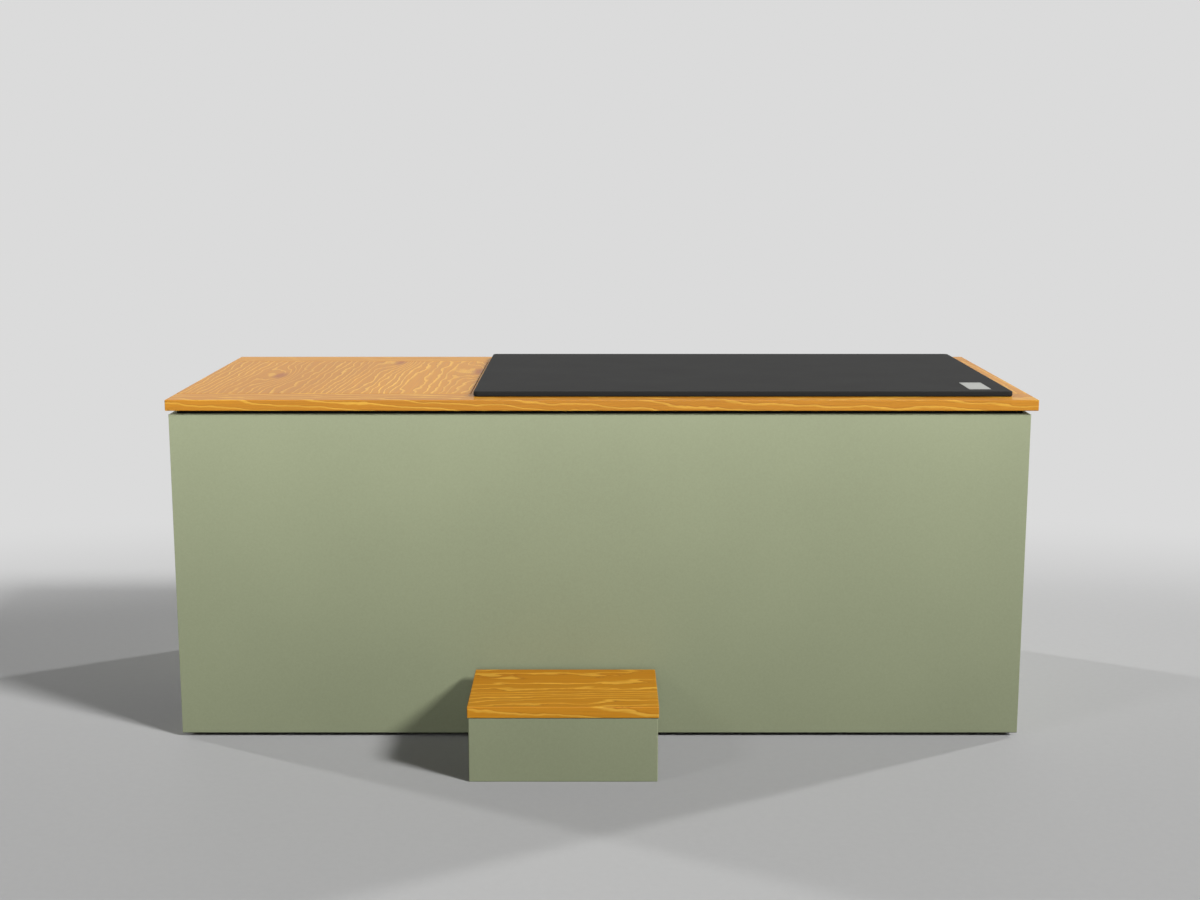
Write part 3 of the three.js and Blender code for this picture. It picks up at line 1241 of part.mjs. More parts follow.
// Lid with a spigot that locates it in the canister and a bar to twist it by
function filterLid() {
  const plug = CANISTER_RADIUS - CANISTER_WALL - LID_PLAY;
  const [easeIn, easeDown] = LID_EASE;
  const rim = CANISTER_RADIUS + CANISTER_RIM;
  const cap = spun([
    [0, -LID_SKIRT], [plug, -LID_SKIRT], [plug, FIT], [rim, FIT], [rim, LID_HEIGHT - easeDown],
    [rim - easeIn, LID_HEIGHT], [0, LID_HEIGHT],
  ], Z_AXIS);
  const gripReach = CANISTER_RADIUS - LID_GRIP_INSET;
  const gripHalf = LID_GRIP_WIDTH / 2;
  const gripZ = [LID_HEIGHT - OVERCUT, LID_HEIGHT + LID_GRIP_HEIGHT];
  const grip = box(-gripReach, gripReach, -gripHalf, gripHalf, ...gripZ);
  const lid = piece('filter_lid', joined(cap, grip), BLACK_PLASTIC);
  lid.position.set(canisterX, CANISTER_Y, bayFloor + CANISTER_HEIGHT);
}

// Pleated cartridge round an open core
function filterCartridge() {
  const points = [];
  for (let i = 0; i < 2 * PLEAT_COUNT; i += 1) {
    const radius = CARTRIDGE_RADIUS - (i % 2) * PLEAT_DEPTH;
    const angle = Math.PI * i / PLEAT_COUNT;
    points.push(new THREE.Vector2(radius * Math.cos(angle), radius * Math.sin(angle)));
  }
  const section = new THREE.Shape(points);
  section.holes.push(circle(CARTRIDGE_BORE, SMALL_SIDES));
  const cartridge = piece('filter_cartridge', alongZ(section, 0, CARTRIDGE_HEIGHT), PAPER);
  cartridge.position.set(canisterX, CANISTER_Y, bayFloor + CANISTER_WALL + FIT);
}

// Hoses slip over the spigots and run straight until they are past them
function hoses() {
  const bore = clearing(SPIGOT_RADIUS, HOSE_SIDES);
  const hose = (name, points, bend, steps) => {
    piece(name, tube(points, bore + HOSE_WALL, bore, bend, HOSE_SIDES, steps), CLEAR_HOSE);
  };
  const grip = HOSE_GRIP;
  const turn = HOSE_BEND + 1;
  const tight = (spigotEnd - pumpInletEnd) * 0.3;
  hose('suction_hose', [
    [spigotEnd + grip, suctionAt.y, suctionAt.z],
    [spigotEnd - tight - 1, suctionAt.y, suctionAt.z],
    [pumpInletEnd + tight + 1, suctionAt.y, pumpZ],
    [pumpInletEnd - grip, suctionAt.y, pumpZ],
  ], tight, 12);
  hose('pump_hose', [
    [pumpOutlet.x, pumpOutlet.y, pumpOutlet.z - grip],
    [pumpOutlet.x, pumpOutlet.y, canisterInZ],
    [canisterX, pumpOutlet.y, canisterInZ],
    [canisterX, CANISTER_Y + portReach - grip, canisterInZ],
  ], Math.min(HOSE_BEND, Math.abs(pumpOutlet.y - CANISTER_Y - portReach) - 1), 14);
  const crossX = (canisterX - portReach + evaporatorPort) / 2;
  hose('chiller_hose', [
    [canisterX - portReach + grip, CANISTER_Y, evaporatorInZ],
    [crossX, CANISTER_Y, evaporatorInZ],
    [crossX, evaporatorY, evaporatorInZ],
    [evaporatorPort - grip, evaporatorY, evaporatorInZ],
  ], Math.min(HOSE_BEND, (canisterX - portReach - evaporatorPort) / 2 - 1), 14);
  hose('return_hose', [
    [evaporatorPort - grip, evaporatorY, evaporatorOutZ],
    [evaporatorPort + turn, evaporatorY, evaporatorOutZ],
    [evaporatorPort + turn, evaporatorY, returnAt.z],
    [spigotEnd - 2 * turn, returnAt.y, returnAt.z],
    [spigotEnd + grip, returnAt.y, returnAt.z],
  ], HOSE_BEND, 18);
  hose('drain_hose', [
    [spigotEnd + grip, drainAt.y, drainAt.z],
    [valveX, drainAt.y, drainAt.z],
    [valveX, valveSpigotY + grip, drainAt.z],
  ], Math.min(HOSE_BEND, spigotEnd - valveX - 1), 10);
}

function drainValve() {
  const tailEnd = BODY_DEPTH + VALVE_TAIL_OUT;
  const profile = [
    [SPIGOT_BORE, valveSpigotY], [SPIGOT_RADIUS, valveSpigotY], [SPIGOT_RADIUS, valveBodyY],
    [VALVE_BODY_RADIUS, valveBodyY + VALVE_FLANGE], [VALVE_BODY_RADIUS, valveFlangeY - VALVE_FLANGE],
    [VALVE_FLANGE_RADIUS, valveFlangeY - VALVE_FLANGE], [VALVE_FLANGE_RADIUS, valveFlangeY],
    [VALVE_TAIL_RADIUS, valveFlangeY], [VALVE_TAIL_RADIUS, tailEnd], [SPIGOT_BORE, tailEnd],
    [SPIGOT_BORE, valveSpigotY],
  ];
  const body = spun(profile, Y_AXIS, [valveX, 0, drainZ]);
  const stemY = valveBodyY + VALVE_BODY_LENGTH / 2;
  const stemZ = [drainZ + SPIGOT_BORE + VALVE_WALL, drainZ + leverRise];
  const stem = rod(VALVE_STEM_RADIUS, ...stemZ, Z_AXIS, [valveX, stemY, 0]);
  piece('drain_valve', joined(body, stem), BRASS);
  const half = LEVER_WIDTH / 2;
  const arm = roundedRectangle(-LEVER_LENGTH, half, -half, half, half * 0.8);
  const lever = piece('drain_lever', alongZ(arm, 0, LEVER_THICKNESS), RED_GRIP);
  lever.position.set(valveX, stemY, drainZ + leverRise + FIT);
}

// Step: a folded box open underneath, and a timber tread on its top folds
function step() {
  const stand = new THREE.Group();
  stand.position.set(STEP_X, -STEP_GAP - TREAD_OVERHANG - STEP_DEPTH / 2, 0);
  coldPlunge.add(stand);
  const plan = (inset) => {
    const x = STEP_LENGTH / 2 - inset;
    const y = STEP_DEPTH / 2 - inset;
    return roundedRectangle(-x, x, -y, y, Math.max(BEND_RADIUS - inset, BEND_RADIUS - SHEET));
  };
  const shell = cut(
    alongZ(plan(0), 0, STEP_BOX_HEIGHT),
    alongZ(plan(SHEET), SHEET, STEP_BOX_HEIGHT - SHEET),
    alongZ(plan(STEP_HEM), -OVERCUT, 2 * SHEET),
    alongZ(plan(STEP_RETURN), STEP_BOX_HEIGHT - 2 * SHEET, STEP_BOX_HEIGHT + OVERCUT),
  );
  piece('step_box', shell, SAGE, stand);
  const y = STEP_DEPTH / 2 + TREAD_OVERHANG;
  const z0 = STEP_BOX_HEIGHT + FIT;
  const z1 = z0 + TREAD_THICKNESS;
  const board = outline([[-y, z0, TIMBER_EASE], [y, z0], [y, z1], [-y, z1, TIMBER_EASE]]);
  const x = STEP_LENGTH / 2 + TREAD_OVERHANG;
  piece('step_tread', alongX(board, -x, x), TIMBER, stand);
}

cabinet();
feet();
ledgers();
shadowBand();
timberTop();
cover();
tubShell();
foamJacket();
bulkhead();
suctionFitting();
returnFitting();
returnEyeball();
drainFitting();
grilles();
chillerTray();
condenser();
fanShroud();
fanRotor();
compressor();
evaporator();
refrigerantPipes();
controlBox();
powerInlet();
pump();
filterCanister();
filterLid();
filterCartridge();
hoses();
drainValve();
step();

export default coldPlunge;
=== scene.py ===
import math

import bmesh
import bpy
from mathutils import Matrix, Vector


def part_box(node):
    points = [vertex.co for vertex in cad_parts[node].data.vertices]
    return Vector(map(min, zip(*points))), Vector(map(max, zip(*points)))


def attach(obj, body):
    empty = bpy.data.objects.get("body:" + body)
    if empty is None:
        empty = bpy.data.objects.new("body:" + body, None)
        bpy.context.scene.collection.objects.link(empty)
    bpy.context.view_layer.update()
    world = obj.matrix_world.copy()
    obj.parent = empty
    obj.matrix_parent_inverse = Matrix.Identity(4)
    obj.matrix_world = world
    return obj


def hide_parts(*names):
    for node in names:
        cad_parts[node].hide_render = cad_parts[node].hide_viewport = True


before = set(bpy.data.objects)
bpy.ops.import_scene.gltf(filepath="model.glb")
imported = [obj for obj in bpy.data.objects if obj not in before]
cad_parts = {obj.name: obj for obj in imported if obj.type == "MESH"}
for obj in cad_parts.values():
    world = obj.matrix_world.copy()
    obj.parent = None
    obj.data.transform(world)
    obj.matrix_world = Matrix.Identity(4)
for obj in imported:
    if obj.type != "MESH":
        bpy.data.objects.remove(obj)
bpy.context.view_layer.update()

# Cold plunge tub with a chiller in its bay, a lift-off cover and a loose step: metres, in the CAD frame

MM = 0.001
X, Y, Z = Vector((1, 0, 0)), Vector((0, 1, 0)), Vector((0, 0, 1))

# Photograph: 1200 x 900, 50 mm lens on a 36 mm sensor, no yaw and no roll

CAMERA_AT = (-0.0040, -3.9460, 1.3255)
CAMERA_PITCH = math.radians(10.018)
CAMERA_LENS = 50
CAMERA_REACH = 100
SENSOR_WIDTH = 36

# Studio

BACKDROP_GREY = 0.708
FLOOR_GREY = 0.53
FLOOR_BOUNCE = 0.15
STUDIO_AMBIENT = 0.015
LAMP_AIM = (0, 0.14, 0)
SOFT_SPAN = math.radians(10)
CRISP_SPAN = math.radians(3)

# Far lamps: place, span, strength, and whether their light stops at the first surface

FAR_LAMPS = {
    "key_right": ((3.32, -2.10, 2.75), SOFT_SPAN, 3.0, True),
    "fill_left": ((-3.32, -2.10, 2.75), SOFT_SPAN, 0.25, False),
    "front_low": ((0, -4.0, 0.28), SOFT_SPAN, 0.32, True),
    "rim_right": ((3.6, 2.30, 1.78), CRISP_SPAN, 1.4, False),
    "rim_left": ((-3.6, 2.30, 1.78), CRISP_SPAN, 1.0, False),
}

# Strip lamp over the front

STRIP_AT = (0, -3.2, 1.9)
STRIP_AIM = (0, -0.26, 1.11)
STRIP_LENGTH = 4.5
STRIP_HEIGHT = 0.6
STRIP_SPREAD = math.radians(38)
STRIP_POWER = 10


# Camera and lamps

def placed(name, data):
    """A new object of the scene."""
    made = bpy.data.objects.new(name, data)
    bpy.context.collection.objects.link(made)
    return made


def photo_camera():
    data = bpy.data.cameras.new("photo_camera")
    data.lens = CAMERA_LENS
    data.sensor_width = SENSOR_WIDTH
    data.clip_end = CAMERA_REACH
    camera = placed("photo_camera", data)
    camera.location = CAMERA_AT
    camera.rotation_euler = (math.pi / 2 - CAMERA_PITCH, 0, 0)
    bpy.context.scene.camera = camera


def aimed(name, data, at, aim):
    """A lamp at a place, turned to the point that it lights and kept out of the picture."""
    lamp = placed(name, data)
    lamp.location = at
    lamp.rotation_euler = (Vector(aim) - Vector(at)).to_track_quat("-Z", "Y").to_euler()
    lamp.visible_camera = False


def far_lamps():
    """Lamps far off, so that their light is even: a wide span softens it, and direct light throws no glow."""
    for name, (at, span, strength, direct_only) in FAR_LAMPS.items():
        data = bpy.data.lights.new(name, "SUN")
        data.angle = span
        data.energy = strength
        if direct_only:
            data.cycles.max_bounces = 0
        aimed(name, data, at, LAMP_AIM)


def strip_lamp():
    """A long soft box with a grid, which lights the front from above and leaves the floor."""
    data = bpy.data.lights.new("front_top", "AREA")
    data.shape = "RECTANGLE"
    data.size = STRIP_LENGTH
    data.size_y = STRIP_HEIGHT
    data.spread = STRIP_SPREAD
    data.energy = STRIP_POWER
    aimed("front_top", data, STRIP_AT, STRIP_AIM)


# Node materials

def node(look, kind, inputs=None, **settings):
    """A node of a material or world; an input takes a value or another node's output."""
    tree = look.node_tree
    made = tree.nodes.new(kind)
    for name, value in settings.items():
        setattr(made, name, value)
    for name, value in (inputs or {}).items():
        if isinstance(value, bpy.types.NodeSocket):
            tree.links.new(value, made.inputs[name])
        else:
            made.inputs[name].default_value = value
    return made


def srgb(red, green, blue):
    """A colour read as 0 to 255, as the linear colour of a socket."""
    def linear(value):
        share = value / 255
        return share / 12.92 if share <= 0.04045 else ((share + 0.055) / 1.055) ** 2.4
    return (linear(red), linear(green), linear(blue), 1)


def toned(colour, share):
    """A colour made darker or lighter."""
    return [share * part for part in colour[:3]] + [1]


def grey(level):
    return (level, level, level, 1)


def bare_look(name):
    look = bpy.data.materials.new(name)
    look.use_nodes = True
    look.node_tree.nodes.clear()
    return look


def finished(look, shader):
    node(look, "ShaderNodeOutputMaterial", {"Surface": shader.outputs[0]})
    return look


def shaded(look, inputs, bump):
    """Ends a look with its shader and a bump, which is a height, its strength and its distance."""
    height, strength, distance = bump
    lifted = node(look, "ShaderNodeBump", {"Height": height, "Strength": strength, "Distance": distance})
    shader = node(look, "ShaderNodeBsdfPrincipled", {"Normal": lifted.outputs["Normal"], **inputs})
    return finished(look, shader)


def mapped(look, points, **change):
    """Points moved, turned or scaled."""
    return node(look, "ShaderNodeMapping", {"Vector": points, **change}).outputs["Vector"]


def object_points(look, **change):
    return mapped(look, node(look, "ShaderNodeTexCoord").outputs["Object"], **change)


def noise(look, points, scale, detail=2.0, roughness=0.5):
    return node(look, "ShaderNodeTexNoise", {
        "Vector": points, "Scale": scale, "Detail": detail, "Roughness": roughness,
    }).outputs["Fac"]


def maths(look, operation, *values):
    return node(look, "ShaderNodeMath", dict(enumerate(values)), operation=operation).outputs[0]


def vector_maths(look, operation, *values):
    made = node(look, "ShaderNodeVectorMath", dict(enumerate(values)), operation=operation)
    return made.outputs["Value" if operation == "LENGTH" else "Vector"]


def ramp(look, value, *stops):
    """A colour ramp through (position, colour) stops."""
    made = node(look, "ShaderNodeValToRGB", {"Fac": value})
    elements = made.color_ramp.elements
    while len(elements) < len(stops):
        elements.new(1)
    for element, (position, colour) in zip(elements, stops):
        element.position = position
        element.color = colour
    return made.outputs["Color"]


def remap(look, value, low, high):
    """A 0 to 1 value spread over another range."""
    return node(look, "ShaderNodeMapRange", {"Value": value, "To Min": low, "To Max": high}).outputs["Result"]


def smooth_step(look, value, start, end, low, high):
    """A value that goes from low to high, with no corner, as another goes from start to end."""
    return node(look, "ShaderNodeMapRange", {
        "Value": value, "From Min": start, "From Max": end, "To Min": low, "To Max": high,
    }, interpolation_type="SMOOTHSTEP").outputs["Result"]


def blended(look, share, first, second, how="MIX"):
    """Two colours mixed; the numbers are the colour inputs and output of the node."""
    inputs = {0: share, 6: first, 7: second}
    return node(look, "ShaderNodeMix", inputs, data_type="RGBA", blend_type=how).outputs[2]


def coat_look(name, colour, peel_size=1.4 * MM, peel_depth=0.12 * MM, roughness=0.5):
    """Textured powder coat: fine orange peel, a little mottled."""
    look = bare_look(name)
    points = object_points(look)
    peel = noise(look, points, 1 / peel_size, 2)
    mottle = noise(look, points, 0.35 / peel_size, 3, 0.65)
    cloud = noise(look, points, 2.2, 2)
    tone = blended(look, mottle, toned(colour, 0.90), toned(colour, 1.10))
    wide = ramp(look, cloud, (0.3, grey(0.96)), (0.7, grey(1.03)))
    return shaded(look, {
        "Base Color": blended(look, 1.0, tone, wide, "MULTIPLY"),
        "Roughness": remap(look, mottle, roughness - 0.06, roughness + 0.08),
        "Specular IOR Level": 0.4,
    }, (peel, 0.5, peel_depth))


# Pine tones: the body of a ring, its pale early wood and its dark late wood

PINE_BODY = srgb(201, 136, 28)
PINE_LIGHT = srgb(242, 192, 74)
PINE_DARK = srgb(178, 108, 20)
KNOT_BROWN = srgb(152, 82, 38)
PINE_RING = (
    (0.0, PINE_BODY), (0.60, PINE_BODY), (0.76, PINE_LIGHT),
    (0.85, PINE_LIGHT), (0.93, PINE_DARK), (1.0, PINE_BODY),
)
RINGS_PER_METRE = 62
TRUNK_TAPER = 0.05
LOG_SHADE = (0.90, 0.86, 0.80)
LOG_GLOW = (1.06, 1.06, 1.06)
KNOT_REACH = 70 * MM
KNOT_PULL = 50 * MM
KNOT_RADIUS = 24 * MM
KNOT_HEART = 0.2 * KNOT_RADIUS
KNOT_DARKNESS = 0.75
KNOT_SHAPE = (1, 0.3, 1)

# Bends of a log: how far they stretch along it, their scale, and how far they reach

LONG_GRAIN = 0.14
LOG_BENDS = ((LONG_GRAIN, 7.0, 0.09), (0.35, 30.0, 0.024))


def timber_look(name, along, pith, tone=1.0, knots=()):
    """Varnished pine, with growth rings about a pith line along X or Y; tone lightens the log, and a tone
    over 1 is painted light, a lighter copy of the pine.
    """
    look = bare_look(name)
    points = object_points(look, Location=pith, Rotation=(0, 0, 0 if along == "X" else -math.pi / 2))
    warped = points
    for stretch, scale, reach in LOG_BENDS:
        stretched = mapped(look, points, Scale=(stretch, 1, 1))
        bend = node(look, "ShaderNodeTexNoise", {"Vector": stretched, "Scale": scale, "Detail": 3.0})
        warped = vector_maths(look, "MULTIPLY_ADD", bend.outputs["Color"], (reach, reach, reach), warped)
    parts = node(look, "ShaderNodeSeparateXYZ", {"Vector": warped}).outputs
    rise = maths(look, "MULTIPLY_ADD", parts["X"], TRUNK_TAPER, parts["Z"])
    across = node(look, "ShaderNodeCombineXYZ", {"Y": parts["Y"], "Z": rise}).outputs[0]
    radius = vector_maths(look, "LENGTH", across)
    knotted = 0.0
    for knot in knots:
        away = vector_maths(look, "SUBTRACT", object_points(look), knot)
        gap = vector_maths(look, "LENGTH", vector_maths(look, "MULTIPLY", away, KNOT_SHAPE))
        radius = maths(look, "ADD", radius, smooth_step(look, gap, 0, KNOT_REACH, KNOT_PULL, 0))
        spot = smooth_step(look, gap, KNOT_HEART, KNOT_RADIUS, KNOT_DARKNESS, 0)
        knotted = maths(look, "MAXIMUM", knotted, spot)
    ring = maths(look, "FRACT", maths(look, "MULTIPLY", radius, RINGS_PER_METRE))
    grain = ramp(look, ring, *PINE_RING)
    fibre = noise(look, mapped(look, points, Scale=(6, 420, 420)), 1.0, 3, 0.6)
    fibre_tone = ramp(look, fibre, (0.30, (0.86, 0.84, 0.80, 1)), (0.70, grey(1.08)))
    long_points = mapped(look, points, Scale=(LONG_GRAIN, 1, 1))
    cloud = noise(look, long_points, 4.0, 2)
    # tone scales the whole log's colour: where it is over 1 it is painted light
    cloud_tone = ramp(look, cloud, (0.30, toned(LOG_SHADE, tone)), (0.70, toned(LOG_GLOW, tone)))
    figure = noise(look, long_points, 11.0, 2)
    colour = blended(look, remap(look, figure, 0.1, 1.1), PINE_BODY, grain)
    colour = blended(look, 1.0, colour, fibre_tone, "MULTIPLY")
    colour = blended(look, 1.0, colour, cloud_tone, "MULTIPLY")
    return shaded(look, {
        "Base Color": blended(look, knotted, colour, KNOT_BROWN),
        "Roughness": remap(look, fibre, 0.45, 0.60),
        "Specular IOR Level": 0.25,
        "Coat Weight": 0.25,
        "Coat Roughness": 0.2,
    }, (fibre, 0.25, 0.15 * MM))


def grained_look(name, colour, grain_size, grain_depth, roughness, specular=0.5):
    """Moulded plastic, rubber or foam skin: cells of grain with a faint change of tone."""
    look = bare_look(name)
    points = object_points(look)
    cells = node(look, "ShaderNodeTexVoronoi", {
        "Vector": points, "Scale": 1 / grain_size,
    }, feature="SMOOTH_F1").outputs["Distance"]
    cloud = noise(look, points, 9.0, 3)
    return shaded(look, {
        "Base Color": blended(look, cloud, toned(colour, 0.88), toned(colour, 1.12)),
        "Roughness": remap(look, cloud, roughness - 0.06, roughness + 0.06),
        "Specular IOR Level": specular,
    }, (cells, 0.4, grain_depth))


def metal_look(name, colour, roughness, spangle=0.0, brushed=(1, 1, 1)):
    """Bare metal with fine scratches along one direction and, if zinc coated, a spangle."""
    look = bare_look(name)
    points = object_points(look)
    scratch = noise(look, mapped(look, points, Scale=brushed), 260.0, 3)
    flakes = node(look, "ShaderNodeTexVoronoi", {"Vector": points, "Scale": 70.0}).outputs["Color"]
    flake = node(look, "ShaderNodeSeparateColor", {"Color": flakes}).outputs["Red"]
    share = remap(look, flake, 0.5 - spangle, 0.5 + spangle)
    return shaded(look, {
        "Base Color": blended(look, share, toned(colour, 0.72), toned(colour, 1.25)),
        "Metallic": 1.0,
        "Roughness": remap(look, scratch, roughness - 0.08, roughness + 0.12),
    }, (scratch, 0.15, 0.05 * MM))


def ply_look(name):
    """Birch plywood: pale faces with a long flame figure and fine fibres."""
    look = bare_look(name)
    points = object_points(look)
    figure = noise(look, mapped(look, points, Scale=(1, 5, 1)), 9.0, 4, 0.6)
    face = ramp(
        look, figure, (0.3, srgb(196, 160, 112)), (0.55, srgb(216, 184, 138)), (0.8, srgb(226, 198, 156)),
    )
    fibre = noise(look, mapped(look, points, Scale=(90, 700, 90)), 1.0, 2)
    tone = ramp(look, fibre, (0.3, (0.90, 0.88, 0.86, 1)), (0.7, grey(1.04)))
    return shaded(look, {
        "Base Color": blended(look, 1.0, face, tone, "MULTIPLY"),
        "Roughness": remap(look, fibre, 0.55, 0.75),
    }, (fibre, 0.2, 0.1 * MM))


def gelcoat_look(name):
    """The tub's glossy white moulding, faintly wavy as laid-up gelcoat is."""
    look = bare_look(name)
    points = object_points(look)
    wave = noise(look, points, 14.0, 2)
    tint = noise(look, points, 3.0, 2)
    return shaded(look, {
        "Base Color": ramp(look, tint, (0.3, srgb(226, 229, 228)), (0.7, srgb(236, 238, 236))),
        "Roughness": remap(look, wave, 0.12, 0.22),
        "Coat Weight": 0.5,
        "Coat Roughness": 0.06,
    }, (wave, 0.2, 0.4 * MM))


def hose_look(name):
    """Clear hose over a braid: crossed threads under a glossy wall."""
    look = bare_look(name)
    points = object_points(look)
    braid = 0.0
    for tilt in (0.6, -0.6):
        threads = node(look, "ShaderNodeTexWave", {
            "Vector": mapped(look, points, Rotation=(tilt, tilt, tilt)), "Scale": 55.0,
        }, bands_direction="DIAGONAL").outputs["Fac"]
        braid = maths(look, "MAXIMUM", braid, maths(look, "POWER", threads, 6.0))
    return shaded(look, {
        "Base Color": blended(look, braid, srgb(150, 172, 182), srgb(232, 238, 240)),
        "Roughness": remap(look, braid, 0.22, 0.42),
        "Coat Weight": 0.6,
        "Coat Roughness": 0.08,
    }, (braid, 0.3, 0.3 * MM))


def sprayed_foam_look(name):
    """Sprayed insulation: lumpy yellow foam with a matt skin."""
    look = bare_look(name)
    lumps = noise(look, object_points(look), 26.0, 4, 0.6)
    return shaded(look, {
        "Base Color": ramp(look, lumps, (0.3, srgb(196, 174, 116)), (0.7, srgb(232, 218, 168))),
        "Roughness": remap(look, lumps, 0.85, 0.95),
    }, (lumps, 0.8, 4 * MM))


# Mesh helpers

def block(low, high):
    """A box between two corners."""
    low, high = Vector(low), Vector(high)
    bm = bmesh.new()
    bmesh.ops.create_cube(bm, size=1)
    bmesh.ops.scale(bm, vec=high - low, verts=bm.verts)
    bmesh.ops.translate(bm, vec=(low + high) / 2, verts=bm.verts)
    return bm


def eased(bm, geom, radius, segments=3, affect="EDGES"):
    """Rounds edges, or the corners of a flat face, to a radius."""
    bmesh.ops.bevel(
        bm, geom=list(geom), offset=radius, offset_type="OFFSET", segments=segments,
        profile=0.5, affect=affect, material=-1, clamp_overlap=True,
    )
    return bm


def running(bm, axis):
    """The edges that run along an axis."""
    return [e for e in bm.edges if abs((e.verts[0].co - e.verts[1].co).normalized().dot(axis)) > 0.999]


def facing(bm, direction):
    """The faces that look in a direction."""
    bm.normal_update()
    return [f for f in bm.faces if f.normal.dot(direction) > 0.99]


def rims(bm, *directions):
    """The edges round the faces that look in the directions."""
    return {e for direction in directions for f in facing(bm, direction) for e in f.edges}


def borders(bm):
    """The open edges of a sheet."""
    return [e for e in bm.edges if e.is_boundary]


def moved_on(bm, extruded, vec):
    """Moves the new vertices of an extrusion, and gives them."""
    verts = [v for v in extruded["geom"] if isinstance(v, bmesh.types.BMVert)]
    bmesh.ops.translate(bm, vec=vec, verts=verts)
    return verts


def swept(bm, edges, vec):
    """Extrudes edges along a vector."""
    return moved_on(bm, bmesh.ops.extrude_edge_only(bm, edges=edges), vec)


def pushed(bm, faces, vec):
    """Extrudes faces along a vector."""
    return moved_on(bm, bmesh.ops.extrude_face_region(bm, geom=faces), vec)


def chain(bm, points):
    """A line of edges through points."""
    verts = [bm.verts.new(point) for point in points]
    return verts, [bm.edges.new(pair) for pair in zip(verts, verts[1:])]


def prism(section, vec):
    """A solid that runs along a vector from a flat section."""
    bm = bmesh.new()
    face = bm.faces.new([bm.verts.new(point) for point in section])
    pushed(bm, [face], vec)
    return bm


def folded(section, vec, segments):
    """A sheet that runs along a vector from a line of points, with its folds bent."""
    bm = bmesh.new()
    swept(bm, chain(bm, section)[1], vec)
    return eased(bm, [e for e in bm.edges if e.is_manifold], BEND, segments)


def together(first, *others):
    """Several meshes as one."""
    for other in others:
        spare = bpy.data.meshes.new("spare")
        other.to_mesh(spare)
        other.free()
        first.from_mesh(spare)
        bpy.data.meshes.remove(spare)
    return first


def lathe(profile, axis, centre, steps=48):
    """A profile of (radius, height) points spun about an axis through a centre."""
    bm = bmesh.new()
    verts, edges = chain(bm, [(radius, 0, height) for radius, height in profile])
    bmesh.ops.spin(
        bm, geom=verts + edges, cent=(0, 0, 0), axis=Z, angle=2 * math.pi, steps=steps, use_merge=True,
    )
    bmesh.ops.remove_doubles(bm, verts=bm.verts, dist=1e-6)
    bmesh.ops.recalc_face_normals(bm, faces=bm.faces)
    turn = Z.rotation_difference(Vector(axis)).to_matrix().to_4x4()
    bmesh.ops.transform(bm, matrix=Matrix.Translation(centre) @ turn, verts=bm.verts)
    return bm


def rod(radius, start, end, axis, centre, steps=24, ease=0.8 * MM):
    """A round bar with eased ends, from start to end along an axis through a centre."""
    profile = [
        (0, start), (radius - ease, start), (radius, start + ease),
        (radius, end - ease), (radius - ease, end), (0, end),
    ]
    return lathe(profile, axis, centre, steps)


# Finished pieces

SHARP = math.radians(40)
SOFTENED = math.radians(50)


def piece(name, bm, look, body, slot, *nodes, closed=True):
    """A finished piece that rides on a body and stands for the nodes."""
    if closed:
        bmesh.ops.recalc_face_normals(bm, faces=bm.faces)
    mesh = bpy.data.meshes.new(name)
    bm.to_mesh(mesh)
    bm.free()
    mesh.materials.append(look)
    mesh.shade_smooth()
    mesh.set_sharp_from_angle(angle=SHARP)
    made = placed(name, mesh)
    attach(made, body)
    if nodes:
        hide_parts(*nodes)
    return made


def walled(made, thickness, offset=-1):
    """Gives an open surface its wall, behind the side that it faces unless told otherwise."""
    wall = made.modifiers.new("wall", "SOLIDIFY")
    wall.thickness = thickness
    wall.offset = offset
    wall.use_even_offset = True
    return made


def even(made):
    """Keeps large flat faces flat beside their rounded edges."""
    shading = made.modifiers.new("shading", "WEIGHTED_NORMAL")
    shading.keep_sharp = True
    return made


def soft_edges(made, width):
    """Rounds the sharp edges of a piece and evens its shading."""
    edges = made.modifiers.new("edges", "BEVEL")
    edges.width = width
    edges.segments = 2
    edges.limit_method = "ANGLE"
    edges.angle_limit = SOFTENED
    return even(made)


def sheet(name, bm, out, thickness, look, body, slot, *nodes):
    """A finished sheet: its farthest face along a direction looks that way, with the wall behind."""
    bmesh.ops.recalc_face_normals(bm, faces=bm.faces)
    farthest = max(bm.faces, key=lambda f: f.calc_center_median().dot(out))
    if farthest.normal.dot(out) < 0:
        bmesh.ops.reverse_faces(bm, faces=bm.faces)
    return walled(piece(name, bm, look, body, slot, *nodes, closed=False), thickness)


# Folded cabinet panels, made in (length, depth, height) with the face at depth 0

SHEET = 2 * MM
BEND = 2.2 * MM
TOP_FOLD = 45 * MM
BOTTOM_FOLD = 30 * MM
FIT = 0.3 * MM
CORNER_TAB = 25 * MM
CORNER_TAB_MARGIN = 70 * MM
PANEL_EDGE = 0.8 * MM


def sliced(bm, axis, *levels):
    """Cuts a mesh across at levels along an axis."""
    for level in levels:
        bmesh.ops.bisect_plane(
            bm, geom=bm.verts[:] + bm.edges[:] + bm.faces[:], plane_co=axis * level, plane_no=axis,
        )


def flat_plate(low, high):
    """An upright face between two (length, height) corners."""
    bm = bmesh.new()
    upright = Matrix.Rotation(math.pi / 2, 4, "X")
    bmesh.ops.create_grid(bm, x_segments=1, y_segments=1, size=0.5, matrix=upright)
    bmesh.ops.scale(bm, vec=(high[0] - low[0], 1, high[1] - low[1]), verts=bm.verts)
    bmesh.ops.translate(bm, vec=((low[0] + high[0]) / 2, 0, (low[1] + high[1]) / 2), verts=bm.verts)
    return bm


